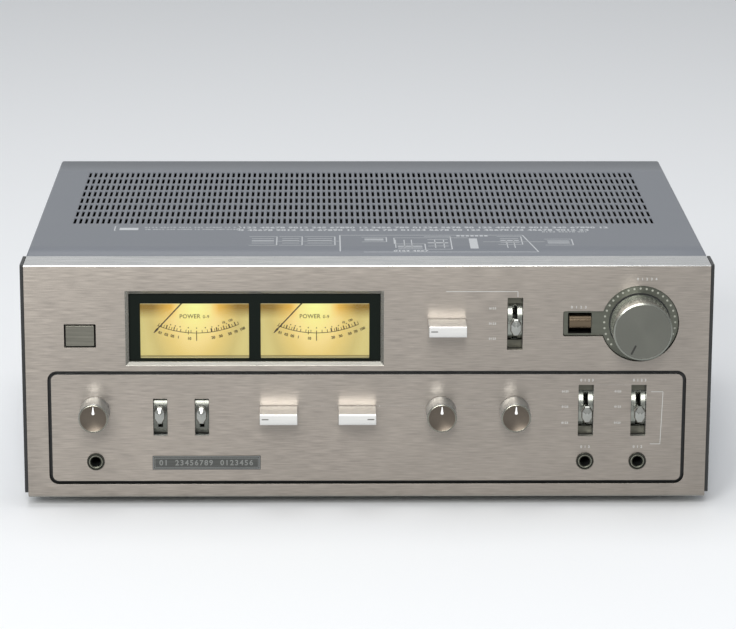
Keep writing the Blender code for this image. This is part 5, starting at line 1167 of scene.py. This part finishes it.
def rear_print():
    """Plain numbers beside the rear's sockets and terminals."""
    marks = Print()
    for words, columns, height in (
        ("654321", INPUT_COLUMNS, 118.0),
        ("1212", SPEAKER_COLUMNS, 87.0),
        ("123", OUTLET_COLUMNS, 124.0),
    ):
        for word, x in zip(words, columns):
            marks.text(word, x, height, 5.0, 1.0, 0.0, 0.1)
    line = 0.4
    marks.frame(-20.0, 34.0, 112.0, 60.0, line)
    marks.frame(-192.5, 63.0, 129.0, 62.5, line)
    marks.frame(102.0, 86.0, 96.0, 44.0, line)
    marks.put("rear_print", "pale_ink", REAR + PRINT_LIFT, OUT_OF_BACK)


def dress_nodes():
    """The nodes that keep their shapes, each in its finish."""
    feet = [f"foot_{end}_{side}" for end in ("front", "rear") for side in ("left", "right")]
    controls = ("speaker_selector", "function_selector", "volume_control")
    finishes = {
        "black_plastic": ("end_cap_left", "end_cap_right", "muting_switch", "power_switch", "ac_outlets"),
        "black_paint": ("front_subchassis", "rear_panel"),
        "plated_sheet": ("meter_housing", "chassis", *controls),
        "clear_pane": ("meter_window",),
        "frame_plastic": ("meter_movement_left", "meter_movement_right"),
        "black_rubber": ("cord_gland", *feet),
        "laminate": ("tone_board", "amplifier_board"),
        "core_steel": ("power_transformer",),
        "blue_sleeve": ("filter_capacitor_front", "filter_capacitor_rear"),
        "fin_anodised": ("heat_sink",),
    }
    for finish, nodes in finishes.items():
        for node in nodes:
            dress(node, M[finish])


# ---- stage


def camera():
    """The camera fitted to the photograph's straight edges."""
    yaw, pitch, roll = math.radians(0.95), math.radians(14.48), math.radians(0.191)
    forward = Vector((math.sin(yaw) * math.cos(pitch), math.cos(yaw) * math.cos(pitch), -math.sin(pitch)))
    right = Vector((math.cos(yaw), -math.sin(yaw), 0.0))
    up = right.cross(forward)
    rolled_right = math.cos(roll) * right + math.sin(roll) * up
    rolled_up = math.cos(roll) * up - math.sin(roll) * right
    lens = bpy.data.cameras.new("camera")
    lens.lens = 155.09
    lens.sensor_width = 36.0
    lens.clip_end = 50.0
    view = linked(lens)
    matrix = Matrix((rolled_right, rolled_up, -forward)).transposed().to_4x4()
    matrix.translation = Vector((-0.0335, -2.20345, 0.6608))
    view.matrix_world = matrix
    bpy.context.scene.camera = view


def lamp(name, place, aim, size, power, colour=EVEN):
    light = bpy.data.lights.new(name, "AREA")
    light.shape = "RECTANGLE"
    light.size, light.size_y = size
    light.energy = power
    light.color = colour
    item = linked(light)
    item.location = place
    item.rotation_euler = (Vector(aim) - Vector(place)).to_track_quat("-Z", "Y").to_euler()


def surroundings():
    """A plain pale floor, and a pale world that lights softly."""
    size = 12000.0
    corners = [(side * size, level * size, 0.0) for side, level in ((-1, -1), (1, -1), (1, 1), (-1, 1))]
    mesh = mesh_of("floor", corners, [(0, 1, 2, 3)])
    floor = linked(mesh)
    ground = Finish("floor_paper", (0.88, 0.90, 0.925), 0.8)
    ground.link(ground.tint(ground.noise(ground.place(), 900.0, 4.0), 0.02), "Base Color")
    mesh.materials.append(ground.material)
    world = bpy.data.worlds.new("studio")
    world.use_nodes = True
    tree = world.node_tree
    light = tree.nodes["Background"]
    light.inputs["Color"].default_value = (0.97, 0.985, 1.0, 1.0)
    path = tree.nodes.new("ShaderNodeLightPath")
    rays = [path.outputs[name] for name in ("Is Camera Ray", "Is Glossy Ray", "Is Transmission Ray")]
    either = rays[0]
    for ray in rays[1:]:
        largest = tree.nodes.new("ShaderNodeMath")
        largest.operation = "MAXIMUM"
        tree.links.new(either, largest.inputs[0])
        tree.links.new(ray, largest.inputs[1])
        either = largest.outputs["Value"]
    strength = tree.nodes.new("ShaderNodeMapRange")
    strength.inputs["To Min"].default_value = 0.42
    strength.inputs["To Max"].default_value = 0.66
    tree.links.new(either, strength.inputs["Value"])
    tree.links.new(strength.outputs["Result"], light.inputs["Strength"])
    bpy.context.scene.world = world
    warm = (1.0, 0.985, 0.96)
    lamp("key", (-0.12, -3.7, 2.6), (0.0, -0.1, 0.1), (0.9, 1.7), 66.0, warm)
    lamp("side", (-1.45, -3.5, 2.1), (-0.05, -0.1, 0.1), (1.2, 1.5), 74.0, warm)
    lamp("overhead", (-0.2, 0.1, 2.3), (0.0, 0.1, 0.0), (1.6, 1.2), 15.5)


def build_front():
    front_panel()
    lower_panel()
    escutcheon()
    for node in ("speakers_knob", "bass_knob", "treble_knob"):
        knob(node)
    volume_knob()
    bar_knob("function_bar", -1)
    bar_knob("bass_turnover_bar", -1)
    bar_knob("treble_turnover_bar", 1)
    for name in LEVERS:
        lever(name + "_lever", 0.0)
        barrel(name, 9.6, 35.0, 11.4, 19.0)
    for name in FILTERS:
        lever(name + "_lever", 8.0)
        # The filter barrels take the darker chrome copy: painted shade in their wells.
        barrel(name, 8.9, 25.0, 7.5, 26.0, "small_barrel_shaded")
    paddle()
    power_button()
    for node in JACKS:
        jack(node)
    badge()
    front_print()


camera()
surroundings()
build_front()
meters()
top_cover()
screws()
input_plate()
speaker_strip()
rear_print()
dress_nodes()

bpy.context.scene.view_settings.view_transform = "Standard"
